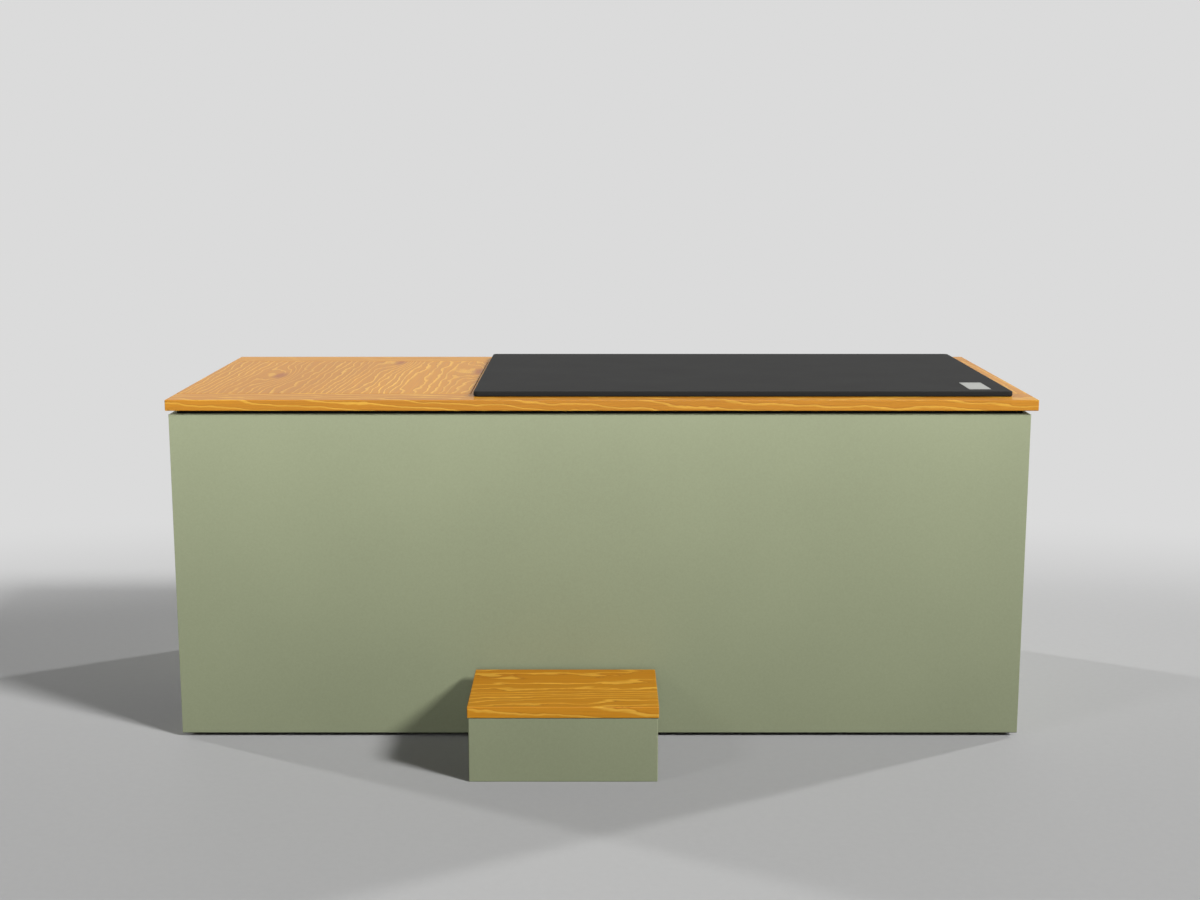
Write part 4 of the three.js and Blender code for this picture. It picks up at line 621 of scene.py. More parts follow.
def channel(start, end, bottom, top, notch):
    """A face with a fold in at its top and bottom; the folds stop a notch short of the ends."""
    corners = [(TOP_FOLD, top), (0, top), (0, bottom), (BOTTOM_FOLD, bottom)]
    bm = folded([(start, depth, height) for depth, height in corners], X * (end - start), 4)
    sliced(bm, X, start + notch, end - notch)
    beyond = [
        f for f in facing(bm, Z) + facing(bm, -Z)
        if not start + notch < f.calc_center_median().x < end - notch
    ]
    bmesh.ops.delete(bm, geom=beyond, context="FACES")
    return bm


def marked(bm, low, high):
    """Cuts round a rectangle between two (length, height) corners of a panel's face, and gives its faces."""
    sliced(bm, X, low[0], high[0])
    sliced(bm, Z, low[1], high[1])
    found = []
    for face in bm.faces:
        at = face.calc_center_median()
        if abs(at.y) < MM and low[0] < at.x < high[0] and low[1] < at.z < high[1]:
            found.append(face)
    return found


def opened(bm, low, high):
    """Cuts a rectangular window in a panel's face."""
    bmesh.ops.delete(bm, geom=marked(bm, low, high), context="FACES")


def drilled(bm, centre, radius, steps=32, margin=1.4):
    """Cuts a round hole in a panel's face: a square window, drawn in to a circle."""
    reach = margin * radius
    heart = Vector((centre[0], 0, centre[1]))

    def window_edges():
        return [
            e for e in borders(bm)
            if all(max(abs(part) for part in v.co - heart) < reach + MM for v in e.verts)
        ]
    opened(bm, (heart.x - reach, heart.z - reach), (heart.x + reach, heart.z + reach))
    bmesh.ops.subdivide_edges(bm, edges=window_edges(), cuts=steps // 4 - 1)
    for vert in swept(bm, window_edges(), (0, 0, 0)):
        vert.co = heart + radius * (vert.co - heart).normalized()


def corner_tabs(bm, start, end, bottom, top):
    """Turns tabs in from both upright ends of an end panel, between two heights."""
    bottom, top = bottom + CORNER_TAB_MARGIN, top - CORNER_TAB_MARGIN
    sliced(bm, Z, bottom, top)
    sides = [
        e for e in borders(bm)
        if all(
            min(abs(v.co.x - start), abs(v.co.x - end)) < FIT / 2 and bottom - FIT < v.co.z < top + FIT
            for v in e.verts
        )
    ]
    swept(bm, sides, Y * CORNER_TAB)


def standing_panel(name, bm, origin, length_axis, inward, node_name):
    """Places a panel made in (length, depth, height), with its face looking out."""
    place = Matrix.Translation(origin) @ Matrix((length_axis, inward, Z)).transposed().to_4x4()
    bmesh.ops.transform(bm, matrix=place, verts=bm.verts)
    soft_edges(sheet(name, bm, -inward, SHEET, sage_coat, "cabinet", "sage_coat", node_name), PANEL_EDGE)


# Finishes

sage_coat = coat_look("sage_coat", srgb(156, 163, 131))
band_black = grained_look("band_black", srgb(9, 9, 9), 1.2 * MM, 0.1 * MM, 0.8, 0.1)
foot_rubber = grained_look("foot_rubber", srgb(22, 22, 22), 1.6 * MM, 0.15 * MM, 0.8)
cover_skin = grained_look("cover_skin", srgb(33, 33, 32), 1.8 * MM, 0.12 * MM, 0.74, 0.14)
plug_foam = grained_look("plug_foam", srgb(52, 53, 54), 2.5 * MM, 0.5 * MM, 0.85)
tag_vinyl = grained_look("tag_vinyl", srgb(174, 175, 170), 0.9 * MM, 0.05 * MM, 0.6, 0.3)
birch_ply = ply_look("birch_ply")
gelcoat = gelcoat_look("white_gelcoat")
white_plastic = grained_look("white_plastic", srgb(222, 225, 224), 0.8 * MM, 0.04 * MM, 0.4)
black_plastic = grained_look("black_plastic", srgb(28, 29, 29), 0.9 * MM, 0.06 * MM, 0.45)
black_paint = coat_look("black_paint", srgb(34, 36, 38), 1.1 * MM, 0.08 * MM, 0.42)
grille_coat = coat_look("grille_coat", srgb(30, 31, 30), 1.2 * MM, 0.1 * MM, 0.5)
red_grip = grained_look("red_grip", srgb(168, 34, 28), 1.0 * MM, 0.06 * MM, 0.4)
galvanised = metal_look("galvanised", (0.50, 0.52, 0.53, 1), 0.38, spangle=0.35)
fin_metal = metal_look("fin_metal", (0.66, 0.68, 0.69, 1), 0.36, brushed=(1, 1, 8))
copper = metal_look("copper", (0.72, 0.34, 0.18, 1), 0.30)
brass = metal_look("brass", (0.66, 0.46, 0.18, 1), 0.30)
screw_steel = metal_look("screw_steel", (0.55, 0.56, 0.57, 1), 0.32)
braided_hose = hose_look("braided_hose")
sprayed_foam = sprayed_foam_look("sprayed_foam")
filter_felt = grained_look("filter_felt", srgb(232, 230, 222), 1.5 * MM, 0.2 * MM, 0.9)


# Cabinet

GRILLE_FLANGE = 14 * MM
INLET_HOLE_HALF = 24.3 * MM
TAP_HOLE = 14.8 * MM
BAND_EASE = 0.6 * MM
FOOT_EASE = 3 * MM
FOOT_WAIST = 3.6 * MM


def box_of(name):
    """The low and high corners of a solid."""
    low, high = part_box(name)
    return Vector(low), Vector(high)


def middle(name):
    low, high = box_of(name)
    return (low + high) / 2


def grille_hole(bm, node_name, axis):
    """Cuts the opening behind a grille's flange, in a panel that runs along an axis."""
    low, high = box_of(node_name)
    opened(
        bm, (low.dot(axis) + GRILLE_FLANGE, low.z + GRILLE_FLANGE),
        (high.dot(axis) - GRILLE_FLANGE, high.z - GRILLE_FLANGE),
    )


def cabinet_panels():
    low, high = box_of("front_panel")
    notch = SHEET + FIT
    front = channel(low.x, high.x, low.z, high.z, notch)
    standing_panel("front_sheet", front, Y * low.y, X, Y, "front_panel")

    rear = channel(low.x, high.x, low.z, high.z, notch)
    grille_hole(rear, "exhaust_grille", X)
    inlet = middle("power_inlet")
    opened(
        rear, (inlet.x - INLET_HOLE_HALF, inlet.z - INLET_HOLE_HALF),
        (inlet.x + INLET_HOLE_HALF, inlet.z + INLET_HOLE_HALF),
    )
    drilled(rear, (middle("drain_valve").x, middle("drain_fitting").z), TAP_HOLE)
    standing_panel("rear_sheet", rear, Y * box_of("rear_panel")[1].y, X, -Y, "rear_panel")

    for side, inward in (("left", X), ("right", -X)):
        low, high = box_of(f"{side}_end_panel")
        end = channel(low.y, high.y, low.z, high.z, TOP_FOLD)
        if side == "left":
            grille_hole(end, "intake_grille", Y)
        corner_tabs(end, low.y, high.y, low.z, high.z)
        face = low.x if side == "left" else high.x
        standing_panel(f"{side}_end_sheet", end, X * face, Y, inward, f"{side}_end_panel")


def board(name, node_name, look, body, slot, ease):
    """A board the size of its node, with eased edges."""
    bm = block(*box_of(node_name))
    eased(bm, bm.edges, ease)
    even(piece(name, bm, look, body, slot, node_name))


def shadow_band():
    for side in ("front", "rear", "left", "right"):
        board(f"{side}_band_strip", f"{side}_band", band_black, "cabinet", "black_plastic", BAND_EASE)


def rubber_feet():
    for place in ("front_left", "front_middle", "front_right", "rear_left", "rear_middle", "rear_right"):
        node_name = f"foot_{place}"
        low, high = box_of(node_name)
        radius = (high.x - low.x) / 2
        height = high.z - low.z
        profile = [
            (0, 0), (radius - FOOT_EASE, 0), (radius - 0.2 * FOOT_EASE, 0.8 * MM), (radius, 2 * MM),
            (radius - FOOT_WAIST, height - MM), (radius - FOOT_WAIST - MM, height), (0, height),
        ]
        centre = middle(node_name).xy.to_3d() + Z * low.z
        piece(f"{node_name}_rubber", lathe(profile, Z, centre), foot_rubber, "cabinet", "rubber", node_name)


# Timber top and tread: each board has its own log, with its body, run, pith and tone; the tread's tone of 1.3
# is painted light, a lighter pine that stands in for light the tread does not get

TIMBER_BOARDS = [
    ("front_rail", "cabinet", "X", (0.1, 0.33, -0.40), 1.0),
    ("rear_rail", "cabinet", "X", (0.9, -0.30, -0.60), 1.0),
    ("mid_rail", "cabinet", "Y", (0.4, -0.10, -0.66), 1.0),
    ("right_rail", "cabinet", "Y", (0.7, 0.75, -0.68), 1.0),
    ("hatch_batten_front", "hatch", "X", (1.4, 0.2, -0.66), 1.0),
    ("hatch_batten_rear", "hatch", "X", (1.9, -0.3, -0.64), 1.0),
    # the tread's pine is painted lighter, by a tone of 1.3, to stand in for light that does not reach it
    ("step_tread", "step", "X", (0.3, 0.137, 0.118), 1.3),
]
TIMBER_EASE = 1.6 * MM
HATCH_EASE = 1.0 * MM
HATCH_PITH = (0.2, -0.10, -0.60)
HATCH_KNOTS = [(-0.7955, 0.152), (-0.5295, 0.419), (-0.3105, 0.227)]


def timber_boards():
    for node_name, body, along, pith, tone in TIMBER_BOARDS:
        look = timber_look(f"{node_name}_pine", along, pith, tone)
        board(f"{node_name}_board", node_name, look, body, "timber", TIMBER_EASE)
    top = box_of("hatch_board")[1].z
    look = timber_look("hatch_pine", "Y", HATCH_PITH, knots=[(x, y, top) for x, y in HATCH_KNOTS])
    board("hatch_top_board", "hatch_board", look, "hatch", "timber", HATCH_EASE)


# Cover and its tag

COVER_CORNER = 11 * MM
COVER_RIM = 3 * MM
PLUG_CORNER = 60 * MM
PLUG_RIM = 6 * MM
TAG_LOW = (837.5 * MM, -181.8 * MM)
TAG_HIGH = (887.5 * MM, -71.8 * MM)
TAG_THICKNESS = 0.5 * MM
TAG_SEAT = 0.1 * MM
TAG_CORNER = 2 * MM
TAG_RIM = 0.15 * MM


def rounded_slab(node_name, corner, corner_steps, rim, rim_steps):
    """A slab the size of its node, with round corners and eased rims."""
    bm = block(*box_of(node_name))
    eased(bm, running(bm, Z), corner, corner_steps)
    return eased(bm, rims(bm, Z, -Z), rim, rim_steps)


def lift_off_cover():
    panel = rounded_slab("cover_panel", COVER_CORNER, 8, COVER_RIM, 4)
    even(piece("cover_skin_panel", panel, cover_skin, "cover", "cover_black", "cover_panel"))
    plug = rounded_slab("cover_plug", PLUG_CORNER, 10, PLUG_RIM, 4)
    foam = even(piece("cover_foam_plug", plug, plug_foam, "cover", "foam", "cover_plug"))


def blank_tag():
    top = box_of("cover_panel")[1].z
    tag = block((*TAG_LOW, top - TAG_SEAT), (*TAG_HIGH, top + TAG_THICKNESS))
    eased(tag, running(tag, Z), TAG_CORNER, 4)
    eased(tag, rims(tag, Z), TAG_RIM, 2)
    even(piece("blank_cover_tag", tag, tag_vinyl, "cover", "white_plastic"))


# Step

STEP_FOLD = 25 * MM
STEP_HEM = 14 * MM
STEP_RIM = 1.2 * MM
STEP_EDGE = 0.4 * MM


def folded_step():
    box = block(*box_of("step_box"))
    for direction, depth in ((Z, STEP_FOLD), (-Z, STEP_HEM)):
        lid = facing(box, direction)
        bmesh.ops.inset_region(box, faces=lid, thickness=depth, use_even_offset=True)
        bmesh.ops.delete(box, geom=lid, context="FACES")
    eased(box, running(box, Z), BEND, 5)
    for direction in (Z, -Z):
        rim = [e for e in rims(box, direction) if any(f.normal.dot(direction) < 0.5 for f in e.link_faces)]
        eased(box, rim, STEP_RIM)
    made = sheet("step_folded_box", box, -Y, SHEET, sage_coat, "step", "sage_coat", "step_box")
    soft_edges(made, STEP_EDGE)


# Tub, and the boards round it

TUB_WALL = 6 * MM
TUB_FLOOR = 110 * MM
MOUTH_SETBACK = 10 * MM
WALL_DRAFT = 30 * MM
BACKREST_RUN = 150 * MM
TUB_CORNER = 66 * MM
CORNER_STEPS = 8
FLOOR_FILLET = 25 * MM
LIP = 8 * MM
FLANGE_CORNER = 10 * MM
BOARD_EASE = 0.8 * MM
BULKHEAD_EDGE = 0.6 * MM
BARREL = 20 * MM
SPIGOT = 12.5 * MM
SPIGOT_BORE = 9 * MM
FITTINGS = ("suction_fitting", "return_fitting", "drain_fitting")
tub_end = box_of("mid_rail")[1].x - MOUTH_SETBACK


def seen_along_x(start):
    """Swaps X and Y, so that a wall at start lies as a panel's face does."""
    return Matrix(((0, 1, 0, 0), (1, 0, 0, -start), (0, 0, 1, 0), (0, 0, 0, 1)))


def fitting_holes(bm):
    """Cuts the holes of the water fittings in a wall that lies as a panel's face does."""
    for name in FITTINGS:
        drilled(bm, (middle(name).y, middle(name).z), BARREL + FIT)


def moulded_tub():
    """Walls with a raked back, a rounded floor, and a flange that the timber lies on."""
    flange_low, flange_high = box_of("tub_shell")
    top = flange_high.z
    low = Vector((tub_end, box_of("front_rail")[1].y - MOUTH_SETBACK, TUB_FLOOR))
    high = Vector((box_of("right_rail")[0].x, box_of("rear_rail")[0].y, top)) + (X + Y) * MOUTH_SETBACK
    centre = (low + high) / 2
    bm = block(low, high)
    bmesh.ops.delete(bm, geom=facing(bm, Z), context="FACES_ONLY")
    floor = [v for v in bm.verts if v.co.z < TUB_FLOOR + MM]
    bmesh.ops.translate(bm, vec=Y * WALL_DRAFT, verts=[v for v in floor if v.co.y < centre.y])
    bmesh.ops.translate(bm, vec=-Y * WALL_DRAFT, verts=[v for v in floor if v.co.y > centre.y])
    bmesh.ops.translate(bm, vec=-X * BACKREST_RUN, verts=[v for v in floor if v.co.x > centre.x])
    corners = [e for e in bm.edges if abs(e.verts[0].co.z - e.verts[1].co.z) > TUB_FLOOR]
    eased(bm, corners, TUB_CORNER, CORNER_STEPS)
    eased(bm, [e for e in bm.edges if all(v.co.z < TUB_FLOOR + MM for v in e.verts)], FLOOR_FILLET, 5)
    rim = borders(bm)
    flange = bmesh.ops.create_grid(bm, x_segments=1, y_segments=1, size=0.5)["verts"]
    bmesh.ops.scale(bm, vec=flange_high - flange_low, verts=flange)
    bmesh.ops.translate(bm, vec=middle("tub_shell").xy.to_3d() + Z * top, verts=flange)
    eased(bm, flange, FLANGE_CORNER, CORNER_STEPS, "VERTICES")
    bmesh.ops.delete(bm, geom=facing(bm, Z), context="FACES_ONLY")
    bmesh.ops.bridge_loops(bm, edges=rim + [e for e in bm.edges if e.is_wire])
    eased(bm, rim, LIP, 4)
    swap = seen_along_x(tub_end)
    bmesh.ops.transform(bm, matrix=swap, verts=bm.verts)
    fitting_holes(bm)
    bmesh.ops.transform(bm, matrix=swap.inverted(), verts=bm.verts)
    sheet("moulded_tub", bm, Z, TUB_WALL, gelcoat, "cabinet", "tub_white", "tub_shell")


def ply_bulkhead():
    """The board between bay and tub, necked in for the folds of both long panels."""
    low, high = box_of("bulkhead")
    front_low, front_high = box_of("front_panel")
    neck = (front_low.y + TOP_FOLD + FIT, box_of("rear_panel")[1].y - TOP_FOLD - FIT)
    shoulder = front_high.z - SHEET - FIT
    bm = flat_plate(low.yz, high.yz)
    sliced(bm, X, *neck)
    sliced(bm, Z, shoulder)
    beside = [
        f for f in bm.faces
        if f.calc_center_median().z > shoulder and not neck[0] < f.calc_center_median().x < neck[1]
    ]
    bmesh.ops.delete(bm, geom=beside, context="FACES")
    fitting_holes(bm)
    bmesh.ops.transform(bm, matrix=seen_along_x(low.x).inverted(), verts=bm.verts)
    made = sheet("ply_bulkhead", bm, -X, high.x - low.x, birch_ply, "cabinet", "board", "bulkhead")
    soft_edges(made, BULKHEAD_EDGE)


def ply_base():
    board("ply_base_board", "base_board", birch_ply, "cabinet", "board", BOARD_EASE)


def ply_ledgers():
    """Ledgers that carry the tub's flange, rebated for the top folds of both long panels."""
    for side in ("front", "rear"):
        low, high = box_of(f"{side}_ledger")
        panel_low, panel_high = box_of(f"{side}_panel")
        shoulder = panel_high.z - SHEET - FIT
        if side == "front":
            outer, fold, inner = low.y, panel_low.y + TOP_FOLD + FIT, high.y
        else:
            outer, fold, inner = high.y, panel_high.y - TOP_FOLD - FIT, low.y
        section = [
            (outer, low.z), (inner, low.z), (inner, high.z),
            (fold, high.z), (fold, shoulder), (outer, shoulder),
        ]
        bm = prism([(low.x, y, z) for y, z in section], X * (high.x - low.x))
        eased(bm, bm.edges, BOARD_EASE)
        even(piece(f"ply_{side}_ledger", bm, birch_ply, "cabinet", "board", f"{side}_ledger"))


def carried_over(name, look):
    """Gives a solid that nobody sees its finish."""
    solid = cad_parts[name]
    solid.data.materials.clear()
    solid.data.materials.append(look)


# Water fittings in the tub's end wall

SUCTION_RADIUS = 42 * MM
SUCTION_CROWN = 18 * MM
GUARD_WALL = 2.5 * MM
GUARD_EYE = 9 * MM
GUARD_SHOULDER = 34 * MM
GUARD_STEPS = 48
GUARD_PITCH = 4
GUARD_SLOT = 2
RETURN_RADIUS = 36 * MM
DRAIN_RADIUS = 30 * MM
FLANGE_DEPTH = 6.3 * MM
FLANGE_EASE = 3 * MM
BARB = 1.2 * MM
BARB_SLOPE = 3 * MM
BARB_EDGE = 0.3 * MM
EYEBALL = 15 * MM
EYEBALL_STEPS = 14
NOZZLE = 10 * MM
NOZZLE_BORE = 7 * MM
NOZZLE_LENGTH = 5 * MM
NOZZLE_EASE = 0.8 * MM


def behind_wall():
    """The part of a fitting's profile that runs through wall and board, then the hose spigot."""
    barrel_end = box_of("bulkhead")[0].x - FIT - tub_end
    spigot_end = box_of("suction_fitting")[0].x - tub_end
    profile = [(BARREL, FIT), (BARREL, barrel_end), (SPIGOT - BARB, barrel_end)]
    for share in (0.35, 0.60, 0.85):
        along = barrel_end + (spigot_end - barrel_end) * share
        profile += [(SPIGOT, along), (SPIGOT - BARB, along - BARB_SLOPE)]
    return profile + [(SPIGOT - BARB, spigot_end), (SPIGOT_BORE, spigot_end)]


def fitting_at(name):
    at = middle(name)
    return Vector((tub_end, at.y, at.z))


def suction_guard():
    """A domed guard with slots, over the suction port."""
    at = fitting_at("suction_fitting")
    dome = [
        (0, SUCTION_CROWN), (GUARD_EYE, SUCTION_CROWN - 0.4 * MM), (22 * MM, SUCTION_CROWN - 2 * MM),
        (GUARD_SHOULDER, SUCTION_CROWN - 7 * MM), (SUCTION_RADIUS, FLANGE_DEPTH), (SUCTION_RADIUS, FIT),
    ]
    bm = lathe(dome, X, at, GUARD_STEPS)
    slots = []
    for face in bm.faces:
        away = face.calc_center_median() - at
        sector = int((math.atan2(away.z, away.y) / (2 * math.pi) % 1) * GUARD_STEPS)
        if GUARD_EYE < math.hypot(away.y, away.z) < GUARD_SHOULDER and sector % GUARD_PITCH < GUARD_SLOT:
            slots.append(face)
    bmesh.ops.delete(bm, geom=slots, context="FACES")
    sheet("suction_guard", bm, X, GUARD_WALL, white_plastic, "cabinet", "white_plastic", "suction_fitting")
    port = lathe([*behind_wall(), (SPIGOT_BORE, 2 * MM), (BARREL, FIT)], X, at)
    piece("suction_port", port, white_plastic, "cabinet", "white_plastic")


def return_inlet():
    """A socket in the wall, and the eyeball that turns in it."""
    at = fitting_at("return_fitting")
    lip = math.sqrt(EYEBALL ** 2 - FLANGE_DEPTH ** 2) + 2 * FIT
    socket = EYEBALL + 2 * FIT
    profile = [
        (lip, FLANGE_DEPTH), (RETURN_RADIUS - FLANGE_EASE, FLANGE_DEPTH),
        (RETURN_RADIUS, FLANGE_DEPTH - FLANGE_EASE), (RETURN_RADIUS, FIT), *behind_wall(),
        (SPIGOT_BORE, -EYEBALL), (socket, -EYEBALL / 3), (socket, MM), (lip, FLANGE_DEPTH),
    ]
    piece("return_socket", lathe(profile, X, at), white_plastic, "cabinet", "white_plastic", "return_fitting")
    tip = EYEBALL + NOZZLE_LENGTH
    start, end = -math.acos(NOZZLE_BORE / EYEBALL), math.acos(NOZZLE / EYEBALL)
    arc = [start + (end - start) * i / EYEBALL_STEPS for i in range(EYEBALL_STEPS + 1)]
    ball = [(EYEBALL * math.cos(angle), EYEBALL * math.sin(angle)) for angle in arc]
    ball += [(NOZZLE, tip - NOZZLE_EASE), (NOZZLE - NOZZLE_EASE, tip), (NOZZLE_BORE, tip), ball[0]]
    piece("jet_eyeball", lathe(ball, X, at), white_plastic, "return_jet", "white_plastic", "return_eyeball")


def drain_outlet():
    mouth = (SPIGOT_BORE, FLANGE_DEPTH - FLANGE_EASE)
    profile = [
        mouth, (BARREL, FLANGE_DEPTH), (DRAIN_RADIUS - FLANGE_EASE, FLANGE_DEPTH),
        (DRAIN_RADIUS, FLANGE_DEPTH - FLANGE_EASE), (DRAIN_RADIUS, FIT), *behind_wall(), mouth,
    ]
    outlet = lathe(profile, X, fitting_at("drain_fitting"))
    piece("drain_outlet", outlet, white_plastic, "cabinet", "white_plastic", "drain_fitting")


# Screws

SCREW_HEAD = 4 * MM


def screw_head(at, out, radius=SCREW_HEAD):
    """A pan head with a hexagon socket, standing on a surface that faces out."""
    socket = 0.45 * radius
    rise = 0.55 * radius
    profile = [
        (0, 0.15 * radius), (socket, 0.15 * radius), (socket, rise), (0.75 * radius, 0.9 * rise),
        (radius, 0.4 * rise), (radius, 0), (0, 0),
    ]
    return lathe(profile, out, at, 24)


def screws(name, heads):
    piece(name, together(bmesh.new(), *heads), screw_steel, "cabinet", "galvanised")


# Air grilles

GRILLE_PLATE = 2 * MM
GRILLE_DEPTH = 20 * MM
GRILLE_RIM = 3 * MM
GRILLE_CORNER = 6 * MM
GRILLE_EDGE = 0.5 * MM
GRILLE_SCREWS = (-0.9, 0, 0.9)
LOUVRE_PITCH = 34 * MM
LOUVRE_WIDTH = 24 * MM
LOUVRE_EASE = 0.7 * MM
LOUVRE_ANGLE = math.radians(40)


def air_grille(name, width, height, place):
    """A flanged frame with slanted slats, made facing -Y and then placed."""
    half_w, half_h = width / 2, height / 2
    outer = Vector((half_w + GRILLE_FLANGE, half_h + GRILLE_FLANGE))
    bm = flat_plate(-outer, outer)
    eased(bm, bm.verts, GRILLE_CORNER, 5, "VERTICES")
    window = Vector((half_w - FIT - GRILLE_RIM, half_h - FIT - GRILLE_RIM))
    opened(bm, -window, window)
    inner = [e for e in borders(bm) if all(abs(v.co.x) < half_w and abs(v.co.z) < half_h for v in e.verts)]
    swept(bm, inner, Y * (GRILLE_DEPTH + FIT + GRILLE_PLATE))
    front = FIT + GRILLE_PLATE
    bmesh.ops.transform(bm, matrix=place @ Matrix.Translation(-Y * front), verts=bm.verts)
    out = place.to_3x3() @ -Y
    node_name = f"{name}_grille"
    frame_sheet = sheet(
        f"{name}_frame", bm, out, GRILLE_PLATE, grille_coat, "cabinet", "black_plastic", node_name,
    )
    soft_edges(frame_sheet, GRILLE_EDGE)

    count = int((height - 2 * FIT - 2 * GRILLE_RIM) / LOUVRE_PITCH)
    size = Vector((width - 2 * GRILLE_RIM, LOUVRE_WIDTH, GRILLE_PLATE)) / 2
    slats = bmesh.new()
    for i in range(count):
        slat = block(-size, size)
        eased(slat, running(slat, X), LOUVRE_EASE, 2)
        lift = Matrix.Translation((0, GRILLE_DEPTH / 2, LOUVRE_PITCH * (i - (count - 1) / 2)))
        slant = Matrix.Rotation(LOUVRE_ANGLE, 4, "X")
        bmesh.ops.transform(slat, matrix=place @ lift @ slant, verts=slat.verts)
        together(slats, slat)
    piece(f"{name}_slats", slats, grille_coat, "cabinet", "black_plastic")
    column = half_w + GRILLE_FLANGE / 2
    spots = [Vector((x, -front, level * half_h)) for x in (-column, column) for level in GRILLE_SCREWS]
    screws(f"{name}_screws", [screw_head(place @ spot, out) for spot in spots])


def air_grilles():
    low, high = box_of("intake_grille")
    at = Vector((box_of("left_end_panel")[0].x, (low.y + high.y) / 2, (low.z + high.z) / 2))
    place = Matrix.Translation(at) @ Matrix.Rotation(-math.pi / 2, 4, "Z")
    air_grille("intake", high.y - low.y - 2 * GRILLE_FLANGE, high.z - low.z - 2 * GRILLE_FLANGE, place)
    low, high = box_of("exhaust_grille")
    at = Vector(((low.x + high.x) / 2, box_of("rear_panel")[1].y, (low.z + high.z) / 2))
    place = Matrix.Translation(at) @ Matrix.Rotation(math.pi, 4, "Z")
    air_grille("exhaust", high.x - low.x - 2 * GRILLE_FLANGE, high.z - low.z - 2 * GRILLE_FLANGE, place)


# Chiller

STUB = 7 * MM
STUB_RISE = 14 * MM
STUB_SEAT = 2 * MM
PIPE = 4.5 * MM
PIPE_BEND = 28 * MM
PIPE_RISE = 55 * MM
FINS = 96
FIN_DEPTH = 14 * MM
FIN_HALF = 0.3 * MM
COIL_PLATE = 2 * MM
COIL_HEADER = 40 * MM
COIL_TUBE = 4 * MM
COIL_BEND = 11 * MM
COIL_PITCH = 40 * MM
COIL_ROWS = 9
COIL_MARGIN = 12 * MM
FAN_RADIUS = 148 * MM
FAN_TIP_GAP = 5 * MM
FAN_DEPTH = 24 * MM
FAN_BLADES = 5
BLADE_WALL = 2.4 * MM
BLADE_ROOT = 4 * MM
BLADE_CAMBER = 0.05
HUB_RADIUS = 40 * MM
SHAFT = 5 * MM
COWL_DEPTH = 28 * MM
RING_WALL = 3 * MM
RING_BACK = 10 * MM
RING_FRONT = 28 * MM
SPIDER_ARM = 5 * MM
SPIDER_EASE = 1.5 * MM
MOTOR_RADIUS = 44 * MM
MOTOR_LENGTH = 46 * MM
MOTOR_VENT = 4 * MM
MOTOR_EASE = 8 * MM
VESSEL_FOOT = 14 * MM
VESSEL_STEP = 8 * MM
VESSEL_SOLE = 6 * MM
DOME_STEPS = 10
COMPRESSOR_RADIUS = 78 * MM
COMPRESSOR_DOME = 52 * MM
COMPRESSOR_STUB = 30 * MM
WELD_BEAD = 3 * MM
WELD_WIDTH = 8 * MM
WELD_LEVEL = 0.55
EVAPORATOR_RADIUS = 55 * MM
EVAPORATOR_DOME = 30 * MM
EVAPORATOR_STUB = 20 * MM
EVAPORATOR_IN = 180 * MM
EVAPORATOR_OUT = 300 * MM
tray_top = box_of("condenser")[0].z
evaporator_port = box_of("evaporator")[1].x
evaporator_y = middle("evaporator").y
evaporator_axis = box_of("evaporator")[0].x + EVAPORATOR_RADIUS
coil_x = middle("condenser").x + FIN_DEPTH / 2


def bent_tube(name, points, radius, bend, look, node_name):
    """A round tube through points, with each corner bent."""
    corners = [Vector(p) for p in points]
    knots = [(corners[0], corners[0], corners[0].lerp(corners[1], 0.1))]
    for before, corner, after in zip(corners, corners[1:], corners[2:]):
        reach = min(bend, (corner - before).length / 2, (corner - after).length / 2)
        start = corner + (before - corner).normalized() * reach
        end = corner + (after - corner).normalized() * reach
        knots.append((start, start.lerp(before, 0.05), start.lerp(corner, 0.6)))
        knots.append((end, end.lerp(corner, 0.6), end.lerp(after, 0.05)))
    knots.append((corners[-1], corners[-1].lerp(corners[-2], 0.1), corners[-1]))
    curve = bpy.data.curves.new(name, "CURVE")
    curve.dimensions = "3D"
    curve.bevel_depth = radius
    curve.bevel_resolution = 6
    curve.resolution_u = 8
    curve.use_fill_caps = True
    line = curve.splines.new("BEZIER")
    line.bezier_points.add(len(knots) - 1)
    for point, (at, left, right) in zip(line.bezier_points, knots):
        point.handle_left_type = point.handle_right_type = "FREE"
        point.co, point.handle_left, point.handle_right = at, left, right
    curve.materials.append(look)
    made = placed(name, curve)
    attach(made, "cabinet")
    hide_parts(node_name)


def folded_tray():
    low, high = box_of("chiller_tray")
    section = [(low.y, high.z), (low.y, low.z), (high.y, low.z), (high.y, high.z)]
    bm = folded([(low.x, y, z) for y, z in section], X * (high.x - low.x), 3)
    sheet("folded_tray", bm, -Z, SHEET, galvanised, "cabinet", "galvanised", "chiller_tray")


